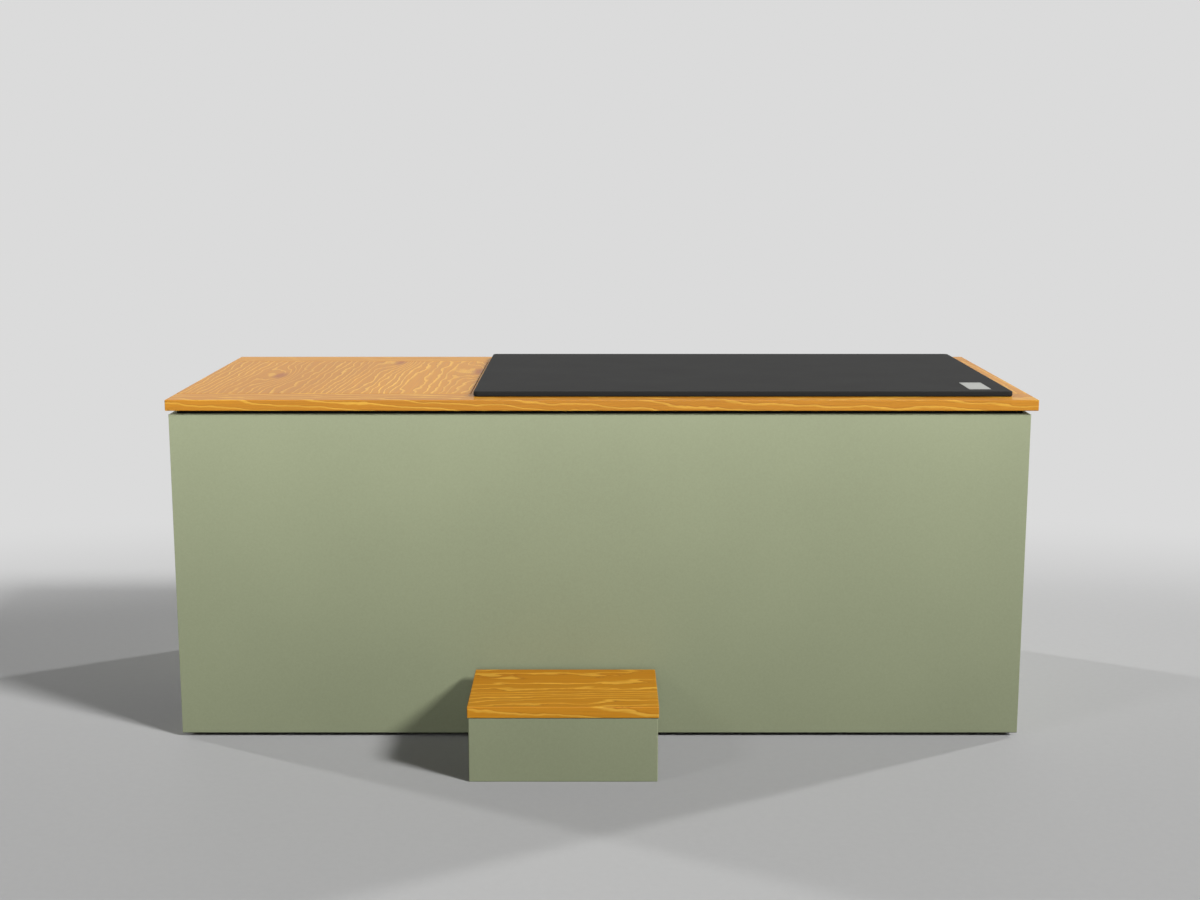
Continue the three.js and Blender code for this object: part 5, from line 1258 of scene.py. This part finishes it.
def finned_coil():
    """The condenser: thin fins on a core between end plates, with return bends at both ends."""
    low, high = box_of("condenser")
    top = high.z - STUB_RISE
    fin_back = low.x + FIN_DEPTH
    core = block((fin_back, low.y + COIL_PLATE, low.z), (high.x, high.y - COIL_PLATE, top))
    for i in range(1, FINS):
        y = low.y + (high.y - low.y) * i / FINS
        fin = block((low.x + MM, y - FIN_HALF, low.z + MM), (fin_back + MM, y + FIN_HALF, top - MM))
        together(core, fin)
    piece("condenser_fins", core, fin_metal, "cabinet", "aluminium", "condenser")
    plates = bmesh.new()
    for y in (low.y, high.y - COIL_PLATE):
        plate = block((low.x, y, low.z), (high.x, y + COIL_PLATE, top))
        together(plates, eased(plate, plate.edges, 0.5 * MM, 2))
    piece("condenser_plates", plates, galvanised, "cabinet", "galvanised")
    tubes = bmesh.new()
    for side, y, lift in ((-1, low.y, 0), (1, high.y, COIL_PITCH / 2)):
        for row in range(1, COIL_ROWS + 1):
            z = low.z + row * COIL_PITCH + lift
            if z + COIL_BEND > top - COIL_MARGIN:
                continue
            ring = Matrix.Translation((coil_x, y, z - COIL_BEND)) @ Matrix.Rotation(math.pi / 2, 4, "X")
            made = bmesh.ops.create_circle(tubes, segments=16, radius=COIL_TUBE, matrix=ring)["verts"]
            edges = {e for v in made for e in v.link_edges}
            bmesh.ops.spin(
                tubes, geom=made + list(edges), cent=(coil_x, y, z), axis=X * side, angle=-math.pi, steps=12,
            )
    bmesh.ops.holes_fill(tubes, edges=tubes.edges)
    for y in (low.y + COIL_HEADER, high.y - COIL_HEADER):
        together(tubes, rod(STUB, top - STUB_SEAT, high.z, Z, (coil_x, y, 0)))
    piece("condenser_bends", tubes, copper, "cabinet", "copper")


def fan_cowl():
    """A cowl on the condenser, with a ring round the blades and a spider that holds the motor."""
    low, high = box_of("fan_shroud")
    fan = middle("fan_shroud")
    axis = Vector((0, fan.y, fan.z))
    plate_x = low.x + COWL_DEPTH
    bore = FAN_RADIUS + FAN_TIP_GAP
    bm = flat_plate(low.yz, high.yz)
    drilled(bm, (fan.y, fan.z), bore + MM, 64, 1.15)
    sides = [
        e for e in borders(bm)
        if any(math.hypot(v.co.x - fan.y, v.co.z - fan.z) > bore + 2 * MM for v in e.verts)
    ]
    swept(bm, sides, -Y * COWL_DEPTH)
    bmesh.ops.transform(bm, matrix=seen_along_x(plate_x).inverted(), verts=bm.verts)
    sheet("fan_cowl", bm, X, SHEET, black_paint, "cabinet", "black_paint", "fan_shroud")

    ring_start, ring_end = plate_x - SHEET - RING_BACK, plate_x - SHEET + RING_FRONT
    rim = bore + RING_WALL
    ring = lathe([
        (bore, ring_start), (rim, ring_start), (rim, ring_end - MM),
        (bore + RING_WALL / 2, ring_end), (bore, ring_end - MM), (bore, ring_start),
    ], X, axis, 64)
    start = ring_end - 2 * SPIDER_ARM
    reach = bore + RING_WALL / 2
    for half_y, half_z in ((reach, SPIDER_ARM), (SPIDER_ARM, reach)):
        bar = block((start + MM, fan.y - half_y, fan.z - half_z), (ring_end, fan.y + half_y, fan.z + half_z))
        together(ring, eased(bar, bar.edges, SPIDER_EASE, 2))
    end = high.x
    dip = MOTOR_VENT / 2
    motor = [(0, start), (MOTOR_RADIUS - MM, start), (MOTOR_RADIUS, start + MM)]
    for share in (0.45, 0.6, 0.75):
        x = start + (end - start) * share
        motor += [
            (MOTOR_RADIUS, x - dip), (MOTOR_RADIUS - dip, x - dip / 2),
            (MOTOR_RADIUS - dip, x + dip / 2), (MOTOR_RADIUS, x + dip),
        ]
    motor += [
        (MOTOR_RADIUS, end - MOTOR_EASE), (MOTOR_RADIUS - 3 * MM, end - 3 * MM),
        (MOTOR_RADIUS - MOTOR_EASE, end), (0, end),
    ]
    together(ring, lathe(motor, X, axis))
    piece("fan_ring_and_motor", ring, black_paint, "cabinet", "black_paint")


def fan_wheel():
    """A hub and five twisted, cambered blades."""
    at = middle("fan_shroud")
    half = FAN_DEPTH / 2
    centre = Vector((box_of("fan_rotor")[0].x + half, at.y, at.z))
    shaft_end = box_of("fan_shroud")[1].x - MOTOR_LENGTH - FIT - centre.x
    hub = lathe([
        (0, -half), (HUB_RADIUS - 12 * MM, -half), (HUB_RADIUS - 4 * MM, 2 * MM - half),
        (HUB_RADIUS, 7 * MM - half), (HUB_RADIUS, half), (SHAFT, half), (SHAFT, shaft_end), (0, shaft_end),
    ], X, centre)
    piece("fan_hub", hub, black_plastic, "fan", "black_plastic", "fan_rotor")
    blades = bmesh.new()
    root = HUB_RADIUS - BLADE_ROOT
    for i in range(FAN_BLADES):
        blade = bmesh.new()
        bmesh.ops.create_grid(blade, x_segments=8, y_segments=8, size=0.5)
        for vert in blade.verts:
            along, share = vert.co.x, vert.co.y + 0.5
            radius = root + (FAN_RADIUS - root) * share
            chord = (0.36 + 0.24 * share) * FAN_RADIUS
            pitch = math.radians(21 - 9 * share)
            angle = 2 * math.pi * i / FAN_BLADES + along * chord * math.cos(pitch) / radius
            camber = BLADE_CAMBER * chord * (0.25 - along * along)
            vert.co = centre + Vector((
                along * chord * math.sin(pitch) - camber, radius * math.cos(angle), radius * math.sin(angle),
            ))
        together(blades, blade)
    walled(piece("fan_blades", blades, black_plastic, "fan", "black_plastic", closed=False), BLADE_WALL, 0)


def vessel(radius, height, dome):
    """A vessel's profile: a stepped foot, a round body and a domed top."""
    profile = [(0, 0), (radius - VESSEL_STEP, 0), (radius - VESSEL_STEP, VESSEL_SOLE), (radius, VESSEL_FOOT)]
    for i in range(DOME_STEPS):
        angle = math.pi / 2 * i / DOME_STEPS
        profile.append((radius * math.cos(angle), height - dome + dome * math.sin(angle)))
    return profile + [(0, height)]


def vessel_stubs(name, foot, height, reach):
    """Two copper stubs that stand on a vessel's dome."""
    stubs = [rod(STUB, height / 2, height + STUB_RISE, Z, foot + X * x) for x in (-reach, reach)]
    piece(name, together(*stubs), copper, "cabinet", "copper")


def sealed_compressor():
    low, high = box_of("compressor")
    foot = middle("compressor").xy.to_3d() + Z * low.z
    height = high.z - low.z - STUB_RISE
    can = lathe(vessel(COMPRESSOR_RADIUS, height, COMPRESSOR_DOME), Z, foot, 64)
    weld = WELD_LEVEL * height
    weld_top = weld + WELD_WIDTH
    inner, edge, crest = (COMPRESSOR_RADIUS + rise for rise in (-MM, 0.7 * WELD_BEAD, WELD_BEAD))
    seam = lathe([
        (inner, weld), (edge, weld), (crest, weld + MM), (crest, weld_top - MM),
        (edge, weld_top), (inner, weld_top), (inner, weld),
    ], Z, foot, 64)
    piece("compressor_can", together(can, seam), black_paint, "cabinet", "black_paint", "compressor")
    vessel_stubs("compressor_stubs", foot, height, COMPRESSOR_STUB)


def spigot(at, axis, start, end):
    """A barbed hose spigot along an axis from a point."""
    profile = [(SPIGOT_BORE, start), (SPIGOT - BARB, start)]
    for share in (0.3, 0.5, 0.7, 0.9):
        along = start + (end - start) * share
        profile += [(SPIGOT - BARB, along), (SPIGOT, along + BARB_EDGE)]
    profile += [(SPIGOT - BARB, end), (SPIGOT_BORE, end), (SPIGOT_BORE, start)]
    return lathe(profile, axis, at, 32)


def wrapped_evaporator():
    """A vessel in foam, with stubs for refrigerant on top and two water ports."""
    low, high = box_of("evaporator")
    foot = Vector((evaporator_axis, evaporator_y, low.z))
    height = high.z - low.z - STUB_RISE
    jacket = lathe(vessel(EVAPORATOR_RADIUS, height, EVAPORATOR_DOME), Z, foot, 64)
    piece("evaporator_jacket", jacket, sprayed_foam, "cabinet", "foam", "evaporator")
    vessel_stubs("evaporator_stubs", foot, height, EVAPORATOR_STUB)
    start, end = EVAPORATOR_RADIUS - STUB_SEAT, high.x - foot.x
    ports = [spigot(foot + Z * rise, X, start, end) for rise in (EVAPORATOR_IN, EVAPORATOR_OUT)]
    piece("evaporator_ports", together(*ports), white_plastic, "cabinet", "white_plastic")


def refrigerant_pipes():
    coil_low, coil_high = box_of("condenser")
    compressor, compressor_top = middle("compressor"), box_of("compressor")[1].z
    evaporator_top = box_of("evaporator")[1].z
    upper = coil_high.z - STUB_RISE + PIPE_RISE
    lower = evaporator_top + PIPE_RISE
    discharge = (compressor.x - COMPRESSOR_STUB, compressor.y, compressor_top)
    intake = (compressor.x + COMPRESSOR_STUB, compressor.y, compressor_top)
    hot = (coil_x, coil_low.y + COIL_HEADER, coil_high.z)
    cool = (coil_x, coil_high.y - COIL_HEADER, coil_high.z)
    liquid = (evaporator_axis - EVAPORATOR_STUB, evaporator_y, evaporator_top)
    gas = (evaporator_axis + EVAPORATOR_STUB, evaporator_y, evaporator_top)
    for name, start, end, level in (
        ("hot_gas_pipe", discharge, hot, upper),
        ("liquid_pipe", cool, liquid, upper),
        ("suction_gas_pipe", gas, intake, lower),
    ):
        route = [start, (start[0], start[1], level), (end[0], end[1], level), end]
        bent_tube(f"bent_{name}", route, PIPE, PIPE_BEND, copper, name)


# Controls and mains

CASE_LID = 12 * MM
CASE_INSET = 3 * MM
CASE_CORNER = 8 * MM
LID_CORNER = 10 * MM
LID_RIM = 2 * MM
LID_SCREW = 13 * MM
INLET_PLATE = 3.5 * MM
INLET_CORNER = 5 * MM
INLET_BODY_SHARE = 0.8
INLET_SCREW = 25 * MM
INLET_SCREW_HEAD = 2.6 * MM
SOCKET_X = -9 * MM
SOCKET_HALF = Vector((11, 17)) * MM
SOCKET_DEPTH = 18 * MM
PIN_HALF = Vector((3, 0, 1)) * MM
PIN_PITCH = 9 * MM
PIN_SETBACK = 4 * MM
PIN_EASE = 0.4 * MM
ROCKER_X = 13 * MM
ROCKER_SLOT_HALF = Vector((7, 12)) * MM
ROCKER_SLOT_DEPTH = 12 * MM
ROCKER_HALF = 6.7 * MM
ROCKER_PIVOT = 3 * MM
ROCKER_TILT = math.radians(-8)
ROCKER_EASE = 0.5 * MM
ROCKER_SECTION = [(-5, -6), (0, -10), (2.5, -10), (1, 0), (2.5, 10), (0, 10), (-5, 6)]


def control_case():
    """A sealed case with a lid and a screw at each corner."""
    low, high = box_of("control_box")
    seam = low.x + CASE_LID
    inset = (Y + Z) * CASE_INSET
    base = block(Vector((seam, low.y, low.z)) + inset, high - inset)
    eased(base, running(base, X), CASE_CORNER, 5)
    lid = block(low, (seam, high.y, high.z))
    eased(lid, running(lid, X), LID_CORNER, 6)
    eased(lid, rims(lid, -X), LID_RIM)
    piece("control_case", together(base, lid), white_plastic, "cabinet", "white_plastic", "control_box")
    columns = (low.y + LID_SCREW, high.y - LID_SCREW)
    levels = (low.z + LID_SCREW, high.z - LID_SCREW)
    screws("control_screws", [screw_head(Vector((low.x, y, z)), -X) for y in columns for z in levels])


def mains_inlet():
    """A plate with a socket and a slot sunk in it, on a body that goes through the panel."""
    low, high = box_of("power_inlet")
    half_plate = (high - low).xz / 2
    bm = flat_plate(-half_plate, half_plate)
    eased(bm, bm.verts, INLET_CORNER, 5, "VERTICES")
    for x, half, depth in (
        (SOCKET_X, SOCKET_HALF, SOCKET_DEPTH), (ROCKER_X, ROCKER_SLOT_HALF, ROCKER_SLOT_DEPTH),
    ):
        sunk = marked(bm, Vector((x, 0)) - half, Vector((x, 0)) + half)
        pushed(bm, sunk, -Y * depth)
        bmesh.ops.delete(bm, geom=[f for f in sunk if f.is_valid], context="FACES_ONLY")
    body_depth = high.y - low.y - INLET_PLATE
    for share, depth in ((1, INLET_PLATE), (INLET_BODY_SHARE, 0), (1, body_depth)):
        ends = swept(bm, borders(bm), -Y * depth)
        bmesh.ops.scale(bm, vec=(share, 1, share), verts=ends)
    bmesh.ops.holes_fill(bm, edges=borders(bm))
    at = middle("power_inlet")
    at.y = high.y
    bmesh.ops.translate(bm, vec=at, verts=bm.verts)
    piece("mains_inlet", bm, black_plastic, "cabinet", "black_plastic", "power_inlet")

    pins = bmesh.new()
    for level in (-PIN_PITCH, 0, PIN_PITCH):
        root = at + Vector((SOCKET_X, 0, level))
        pin = block(root - PIN_HALF - Y * SOCKET_DEPTH, root + PIN_HALF - Y * PIN_SETBACK)
        together(pins, eased(pin, pin.edges, PIN_EASE, 2))
    piece("inlet_pins", pins, brass, "cabinet", "brass")
    spots = (Vector((-INLET_SCREW, 0, INLET_SCREW)), Vector((INLET_SCREW, 0, -INLET_SCREW)))
    screws("inlet_screws", [screw_head(at + spot, Y, INLET_SCREW_HEAD) for spot in spots])

    rocker = prism([Vector((-ROCKER_HALF, y * MM, z * MM)) for y, z in ROCKER_SECTION], X * 2 * ROCKER_HALF)
    eased(rocker, rocker.edges, ROCKER_EASE, 2)
    pivot = Matrix.Translation(at + Vector((ROCKER_X, -ROCKER_PIVOT, 0)))
    bmesh.ops.transform(rocker, matrix=pivot @ Matrix.Rotation(ROCKER_TILT, 4, "X"), verts=rocker.verts)
    piece("rocker_key", rocker, red_grip, "rocker", "red_grip", "power_switch")


# Water circuit

HOSE_RADIUS = 17.2 * MM
HOSE_BEND = 36 * MM
HOSE_GRIP = 26 * MM
CLIP_HALF = 4.5 * MM
CLIP_BAND = 0.9 * MM
CLIP_SETBACK = 13 * MM
VOLUTE_RADIUS = 62 * MM
VOLUTE_WIDTH = 46 * MM
VOLUTE_FLANGE = 12 * MM
VOLUTE_EASE = 6 * MM
PUMP_RISE = 80 * MM
PUMP_MOTOR = 52 * MM
PUMP_MOTOR_LENGTH = 106 * MM
PUMP_RIBS = 12
PUMP_RIB_DEPTH = 4 * MM
PUMP_CAP = 10 * MM
PUMP_FOOT = 8 * MM
PORT_LENGTH = 42 * MM
PORT_SEAT = 3 * MM
CANISTER_RADIUS = 75 * MM
CANISTER_WALL = 5 * MM
CANISTER_IN = 310 * MM
CANISTER_RIM = 12 * MM
CANISTER_RIBS = 16
RIB_HALF = 1.2 * MM
RIB_LENGTH = 40 * MM
RIM_RADIUS = CANISTER_RADIUS + 9 * MM
CAP_PLATE = 16 * MM
CAP_PLUG = 10 * MM
CAP_BAR_HALF = 8 * MM
TAP_RADIUS = 22 * MM
TAP_FLANGE = 28 * MM
TAP_TAIL = 14 * MM
TAP_THREADS = 4
TAP_STEM = 7 * MM
LEVER_CORNER = 6 * MM
LEVER_RIM = 1.2 * MM
LEVER_NUT = 6 * MM
bay_floor = box_of("pump")[0].z
pump_axis = bay_floor + PUMP_RISE
pump_inlet_end = box_of("pump")[1].x
pump_y = middle("suction_fitting").y
volute_x = pump_inlet_end - PORT_LENGTH - VOLUTE_WIDTH / 2
pump_outlet = Vector((volute_x, pump_y - VOLUTE_RADIUS + SPIGOT + VOLUTE_EASE, box_of("pump")[1].z))
canister_at = middle("filter_lid")
canister_port = CANISTER_RADIUS + PORT_LENGTH


def pump_body(start, end):
    """The ribbed motor in front of start, and the volute from start to end."""
    axis = Vector((0, pump_y, pump_axis))
    motor_start = start - PUMP_MOTOR_LENGTH
    motor = [
        (0, motor_start), (PUMP_MOTOR - PUMP_CAP, motor_start), (PUMP_MOTOR - 3 * MM, motor_start + 3 * MM),
        (PUMP_MOTOR, motor_start + PUMP_CAP),
    ]
    pitch = (PUMP_MOTOR_LENGTH - 2 * PUMP_CAP) / PUMP_RIBS
    for i in range(PUMP_RIBS):
        x = motor_start + PUMP_CAP + i * pitch
        motor += [
            (PUMP_MOTOR, x + 0.45 * pitch), (PUMP_MOTOR - PUMP_RIB_DEPTH, x + 0.55 * pitch),
            (PUMP_MOTOR - PUMP_RIB_DEPTH, x + 0.85 * pitch), (PUMP_MOTOR, x + 0.95 * pitch),
        ]
    motor += [(PUMP_MOTOR, start + MM), (0, start + MM)]
    shell = VOLUTE_RADIUS - 3 * MM
    volute = [
        (0, start), (VOLUTE_RADIUS - 2 * MM, start), (VOLUTE_RADIUS, start + 2 * MM),
        (VOLUTE_RADIUS, start + VOLUTE_FLANGE), (shell, start + VOLUTE_FLANGE + MM),
        (shell, end - VOLUTE_EASE), (shell - VOLUTE_EASE, end),
        (20 * MM, end), (18 * MM, end + 3 * MM), (0, end + 3 * MM),
    ]
    return together(lathe(motor, X, axis, 64), lathe(volute, X, axis, 64))


def circulation_pump():
    """A ribbed motor, a volute with its bolts, ports for two hoses, and a foot."""
    low, high = box_of("pump")
    axis = Vector((0, pump_y, pump_axis))
    start, end = volute_x - VOLUTE_WIDTH / 2, volute_x + VOLUTE_WIDTH / 2
    whole = pump_body(start, end)
    together(whole, spigot(axis, X, end, high.x))
    together(whole, spigot(pump_outlet.xy.to_3d(), Z, pump_axis + 20 * MM, high.z))
    foot_half, stem_half = PUMP_MOTOR - 8 * MM, PUMP_MOTOR / 3
    foot_start, foot_end = start - PUMP_MOTOR_LENGTH + 15 * MM, start - 10 * MM
    foot_top = low.z + PUMP_FOOT
    foot = block((foot_start, pump_y - foot_half, low.z), (foot_end, pump_y + foot_half, foot_top))
    stem = block(
        (foot_start + 6 * MM, pump_y - stem_half, low.z + MM),
        (foot_end - 6 * MM, pump_y + stem_half, pump_axis),
    )
    together(whole, eased(foot, foot.edges, 1.5 * MM, 2), eased(stem, running(stem, Z), 4 * MM))
    piece("circulation_pump", whole, black_plastic, "cabinet", "black_plastic", "pump")
    bolts = []
    for i in range(6):
        angle = math.pi / 3 * (i + 0.5)
        out = Vector((0, math.cos(angle), math.sin(angle))) * (VOLUTE_RADIUS - 14 * MM)
        bolts.append(screw_head(X * end + axis + out, X))
    for x in (foot_start + 10 * MM, foot_end - 10 * MM):
        for side in (-1, 1):
            bolts.append(screw_head(Vector((x, pump_y + side * (foot_half - 9 * MM), foot_top)), Z))
    screws("pump_bolts", bolts)


def filter_housing():
    """A ribbed canister with two ports."""
    low, high = box_of("filter_canister")
    foot = canister_at.xy.to_3d() + Z * low.z
    height = high.z - low.z
    rim_bottom = height - CANISTER_RIM
    bore = CANISTER_RADIUS - CANISTER_WALL
    cup = lathe([
        (0, 0), (CANISTER_RADIUS - 6 * MM, 0), (CANISTER_RADIUS - MM, 2 * MM), (CANISTER_RADIUS, 7 * MM),
        (CANISTER_RADIUS, rim_bottom - 9 * MM), (RIM_RADIUS, rim_bottom), (RIM_RADIUS, height - MM),
        (RIM_RADIUS - MM, height), (bore, height), (bore, CANISTER_WALL), (0, CANISTER_WALL),
    ], Z, foot, 64)
    for level, axis in ((CANISTER_IN, Y), (tray_top + EVAPORATOR_IN - low.z, -X)):
        together(cup, spigot(foot + Z * level, axis, CANISTER_RADIUS - PORT_SEAT, canister_port))
    rib_reach = RIM_RADIUS - 3 * MM
    for i in range(CANISTER_RIBS):
        rib = block(
            (CANISTER_RADIUS - MM, -RIB_HALF, rim_bottom - RIB_LENGTH),
            (rib_reach, RIB_HALF, rim_bottom - 2 * MM),
        )
        outer = [v for v in rib.verts if v.co.x > CANISTER_RADIUS and v.co.z < rim_bottom - RIB_LENGTH / 2]
        bmesh.ops.translate(rib, vec=X * (CANISTER_RADIUS - rib_reach), verts=outer)
        turn = Matrix.Rotation(2 * math.pi * (i + 0.5) / CANISTER_RIBS, 4, "Z")
        bmesh.ops.transform(rib, matrix=Matrix.Translation(foot) @ turn, verts=rib.verts)
        together(cup, rib)
    piece("filter_housing", cup, black_plastic, "cabinet", "black_plastic", "filter_canister")


def filter_cap():
    """The canister's lid, with a bar to twist it off."""
    top = box_of("filter_canister")[1].z
    at = canister_at.xy.to_3d() + Z * top
    plug = CANISTER_RADIUS - CANISTER_WALL - 2 * MM
    cap = lathe([
        (0, -CAP_PLUG), (plug, -CAP_PLUG), (plug, FIT), (RIM_RADIUS, FIT), (RIM_RADIUS, CAP_PLATE - 4 * MM),
        (RIM_RADIUS - 1.5 * MM, CAP_PLATE - 1.5 * MM), (RIM_RADIUS - 6 * MM, CAP_PLATE), (0, CAP_PLATE),
    ], Z, at, 64)
    reach = CANISTER_RADIUS - 12 * MM
    bar_top = box_of("filter_lid")[1].z - top
    bar = block((-reach, -CAP_BAR_HALF, CAP_PLATE - 2 * MM), (reach, CAP_BAR_HALF, bar_top))
    eased(bar, running(bar, Z), 5 * MM, 4)
    eased(bar, rims(bar, Z), 2.5 * MM)
    bmesh.ops.translate(bar, vec=at, verts=bar.verts)
    piece("filter_cap", together(cap, bar), black_plastic, "filter_cap", "black_plastic", "filter_lid")


def hose_clip(at, axis):
    """A band round a hose."""
    outer = HOSE_RADIUS + CLIP_BAND
    profile = [
        (HOSE_RADIUS, -CLIP_HALF), (outer, -CLIP_HALF), (outer, CLIP_HALF), (HOSE_RADIUS, CLIP_HALF),
        (HOSE_RADIUS, -CLIP_HALF),
    ]
    return lathe(profile, axis, at, 40)


def hose_routes():
    """The bend and the corners of each hose."""
    suction, back, drain = (fitting_at(name) for name in FITTINGS)
    spigot_end = box_of("suction_fitting")[0].x
    valve_x, valve_start = middle("drain_valve").x, box_of("drain_valve")[0].y
    in_z, chill_in, chill_out = bay_floor + CANISTER_IN, tray_top + EVAPORATOR_IN, tray_top + EVAPORATOR_OUT
    tight = (spigot_end - pump_inlet_end) * 0.3
    turn_x = evaporator_port + HOSE_BEND + MM
    can_x, can_y = canister_at.x, canister_at.y
    port_x, port_y = can_x - canister_port, can_y + canister_port
    cross_x = (port_x + evaporator_port) / 2
    return {
        "suction_hose": (tight, [
            (spigot_end + HOSE_GRIP, suction.y, suction.z), (spigot_end - tight - MM, suction.y, suction.z),
            (pump_inlet_end + tight + MM, pump_y, pump_axis), (pump_inlet_end - HOSE_GRIP, pump_y, pump_axis),
        ]),
        "pump_hose": (min(HOSE_BEND, abs(pump_outlet.y - port_y) - MM), [
            pump_outlet - Z * HOSE_GRIP, (pump_outlet.x, pump_outlet.y, in_z),
            (can_x, pump_outlet.y, in_z), (can_x, port_y - HOSE_GRIP, in_z),
        ]),
        "chiller_hose": (min(HOSE_BEND, (port_x - evaporator_port) / 2 - MM), [
            (port_x + HOSE_GRIP, can_y, chill_in), (cross_x, can_y, chill_in),
            (cross_x, evaporator_y, chill_in), (evaporator_port - HOSE_GRIP, evaporator_y, chill_in),
        ]),
        "return_hose": (HOSE_BEND, [
            (evaporator_port - HOSE_GRIP, evaporator_y, chill_out), (turn_x, evaporator_y, chill_out),
            (turn_x, evaporator_y, back.z), (spigot_end - 2 * (HOSE_BEND + MM), back.y, back.z),
            (spigot_end + HOSE_GRIP, back.y, back.z),
        ]),
        "drain_hose": (min(HOSE_BEND, spigot_end - valve_x - MM), [
            (spigot_end + HOSE_GRIP, drain.y, drain.z), (valve_x, drain.y, drain.z),
            (valve_x, valve_start + HOSE_GRIP, drain.z),
        ]),
    }


def water_hoses():
    """Braided hoses, pushed over the spigots and held by clips."""
    clips = bmesh.new()
    for name, (bend, points) in hose_routes().items():
        bent_tube(f"braided_{name}", points, HOSE_RADIUS, bend, braided_hose, name)
        points = [Vector(p) for p in points]
        for end, inner in ((points[0], points[1]), (points[-1], points[-2])):
            along = (inner - end).normalized()
            together(clips, hose_clip(end + along * CLIP_SETBACK, along))
    piece("hose_clips", clips, screw_steel, "cabinet", "galvanised")


def drain_tap():
    """A brass ball valve through the rear panel, and the lever on its stem."""
    low, high = box_of("drain_valve")
    at = Vector((middle("drain_valve").x, 0, middle("drain_fitting").z))
    seat = box_of("rear_panel")[1].y - SHEET - FIT
    start = low.y + PORT_LENGTH
    waist = TAP_RADIUS - 2 * MM
    profile = [
        (SPIGOT_BORE, low.y), (SPIGOT, low.y), (SPIGOT, start), (TAP_RADIUS - 3 * MM, start + MM),
        (TAP_RADIUS, start + 5 * MM), (TAP_RADIUS, start + 12 * MM), (waist, start + 14 * MM),
        (waist, seat - 14 * MM), (TAP_RADIUS, seat - 12 * MM), (TAP_RADIUS, seat - 4 * MM),
        (TAP_FLANGE, seat - 4 * MM), (TAP_FLANGE, seat), (TAP_TAIL, seat),
    ]
    for i in range(TAP_THREADS):
        y = seat + 3 * MM + (high.y - seat - 4 * MM) * i / TAP_THREADS
        profile += [(TAP_TAIL, y), (TAP_TAIL - 0.7 * MM, y + 0.6 * MM), (TAP_TAIL, y + 1.2 * MM)]
    profile += [(TAP_TAIL - 0.8 * MM, high.y), (SPIGOT_BORE, high.y), (SPIGOT_BORE, low.y)]
    lever_low, lever_high = box_of("drain_lever")
    stem = Vector((at.x, (start + seat) / 2, 0))
    stem_rod = rod(TAP_STEM, at.z + 12 * MM, lever_low.z - FIT, Z, stem)
    piece("drain_tap", together(lathe(profile, Y, at), stem_rod), brass, "cabinet", "brass", "drain_valve")
    arm = rounded_slab("drain_lever", LEVER_CORNER, 5, LEVER_RIM, 2)
    piece("tap_lever", arm, red_grip, "drain_handle", "red_grip", "drain_lever")
    nut_top = 4 * MM
    nut = [(0, 0), (LEVER_NUT, 0), (LEVER_NUT, 0.8 * nut_top), (LEVER_NUT - MM, nut_top), (0, nut_top)]
    piece("lever_nut", lathe(nut, Z, stem + Z * lever_high.z, 6), screw_steel, "drain_handle", "galvanised")


# Studio floor and world

FLOOR_HALF = 14.0
FLOOR_FADE_SHIFT = 0.6
FLOOR_FADE_START = 1.5
FLOOR_FADE_END = 2.85
FLOOR_FADE_WIDTH = 0.55


def seen_directly(look):
    """1 for rays from the camera, a mirror or glass, and 0 for light."""
    path = node(look, "ShaderNodeLightPath").outputs
    share = path["Is Camera Ray"]
    for other in ("Is Glossy Ray", "Is Transmission Ray"):
        share = maths(look, "MAXIMUM", share, path[other])
    return share


def studio_floor():
    """A pale floor that fades into the backdrop away from the object."""
    look = bare_look("studio_floor")
    seen = seen_directly(look)
    points = object_points(look, Scale=(FLOOR_FADE_WIDTH, 1, 1), Location=(0, FLOOR_FADE_SHIFT, 0))
    fade = smooth_step(look, vector_maths(look, "LENGTH", points), FLOOR_FADE_START, FLOOR_FADE_END, 0, 1)
    speckle = remap(look, noise(look, object_points(look), 60.0, 3), 0.97, 1.03)
    floor = node(look, "ShaderNodeBsdfPrincipled", {
        "Base Color": maths(look, "MULTIPLY", remap(look, seen, FLOOR_BOUNCE, FLOOR_GREY), speckle),
        "Roughness": 0.6,
        "Specular IOR Level": 0.2,
    })
    backdrop = node(look, "ShaderNodeEmission", {"Color": grey(BACKDROP_GREY), "Strength": 1.0})
    finished(look, node(look, "ShaderNodeMixShader", {
        "Fac": maths(look, "MULTIPLY", fade, seen), 1: floor.outputs[0], 2: backdrop.outputs[0],
    }))
    bm = bmesh.new()
    bmesh.ops.create_grid(bm, x_segments=1, y_segments=1, size=FLOOR_HALF)
    mesh = bpy.data.meshes.new("studio_floor")
    bm.to_mesh(mesh)
    bm.free()
    mesh.materials.append(look)
    placed("studio_floor", mesh)


def studio_world():
    world = bpy.data.worlds.new("studio")
    bpy.context.scene.world = world
    world.use_nodes = True
    world.node_tree.nodes.clear()
    level = remap(world, seen_directly(world), STUDIO_AMBIENT, BACKDROP_GREY)
    sky = node(world, "ShaderNodeBackground", {"Color": grey(1), "Strength": level})
    node(world, "ShaderNodeOutputWorld", {"Surface": sky.outputs[0]})
    bpy.context.scene.view_settings.view_transform = "Standard"


photo_camera()
far_lamps()
strip_lamp()
studio_floor()
studio_world()
cabinet_panels()
shadow_band()
rubber_feet()
timber_boards()
lift_off_cover()
blank_tag()
folded_step()
moulded_tub()
ply_bulkhead()
ply_base()
ply_ledgers()
carried_over("foam_jacket", sprayed_foam)
carried_over("filter_cartridge", filter_felt)
suction_guard()
return_inlet()
drain_outlet()
air_grilles()
folded_tray()
finned_coil()
fan_cowl()
fan_wheel()
sealed_compressor()
wrapped_evaporator()
refrigerant_pipes()
control_case()
mains_inlet()
circulation_pump()
filter_housing()
filter_cap()
water_hoses()
drain_tap()
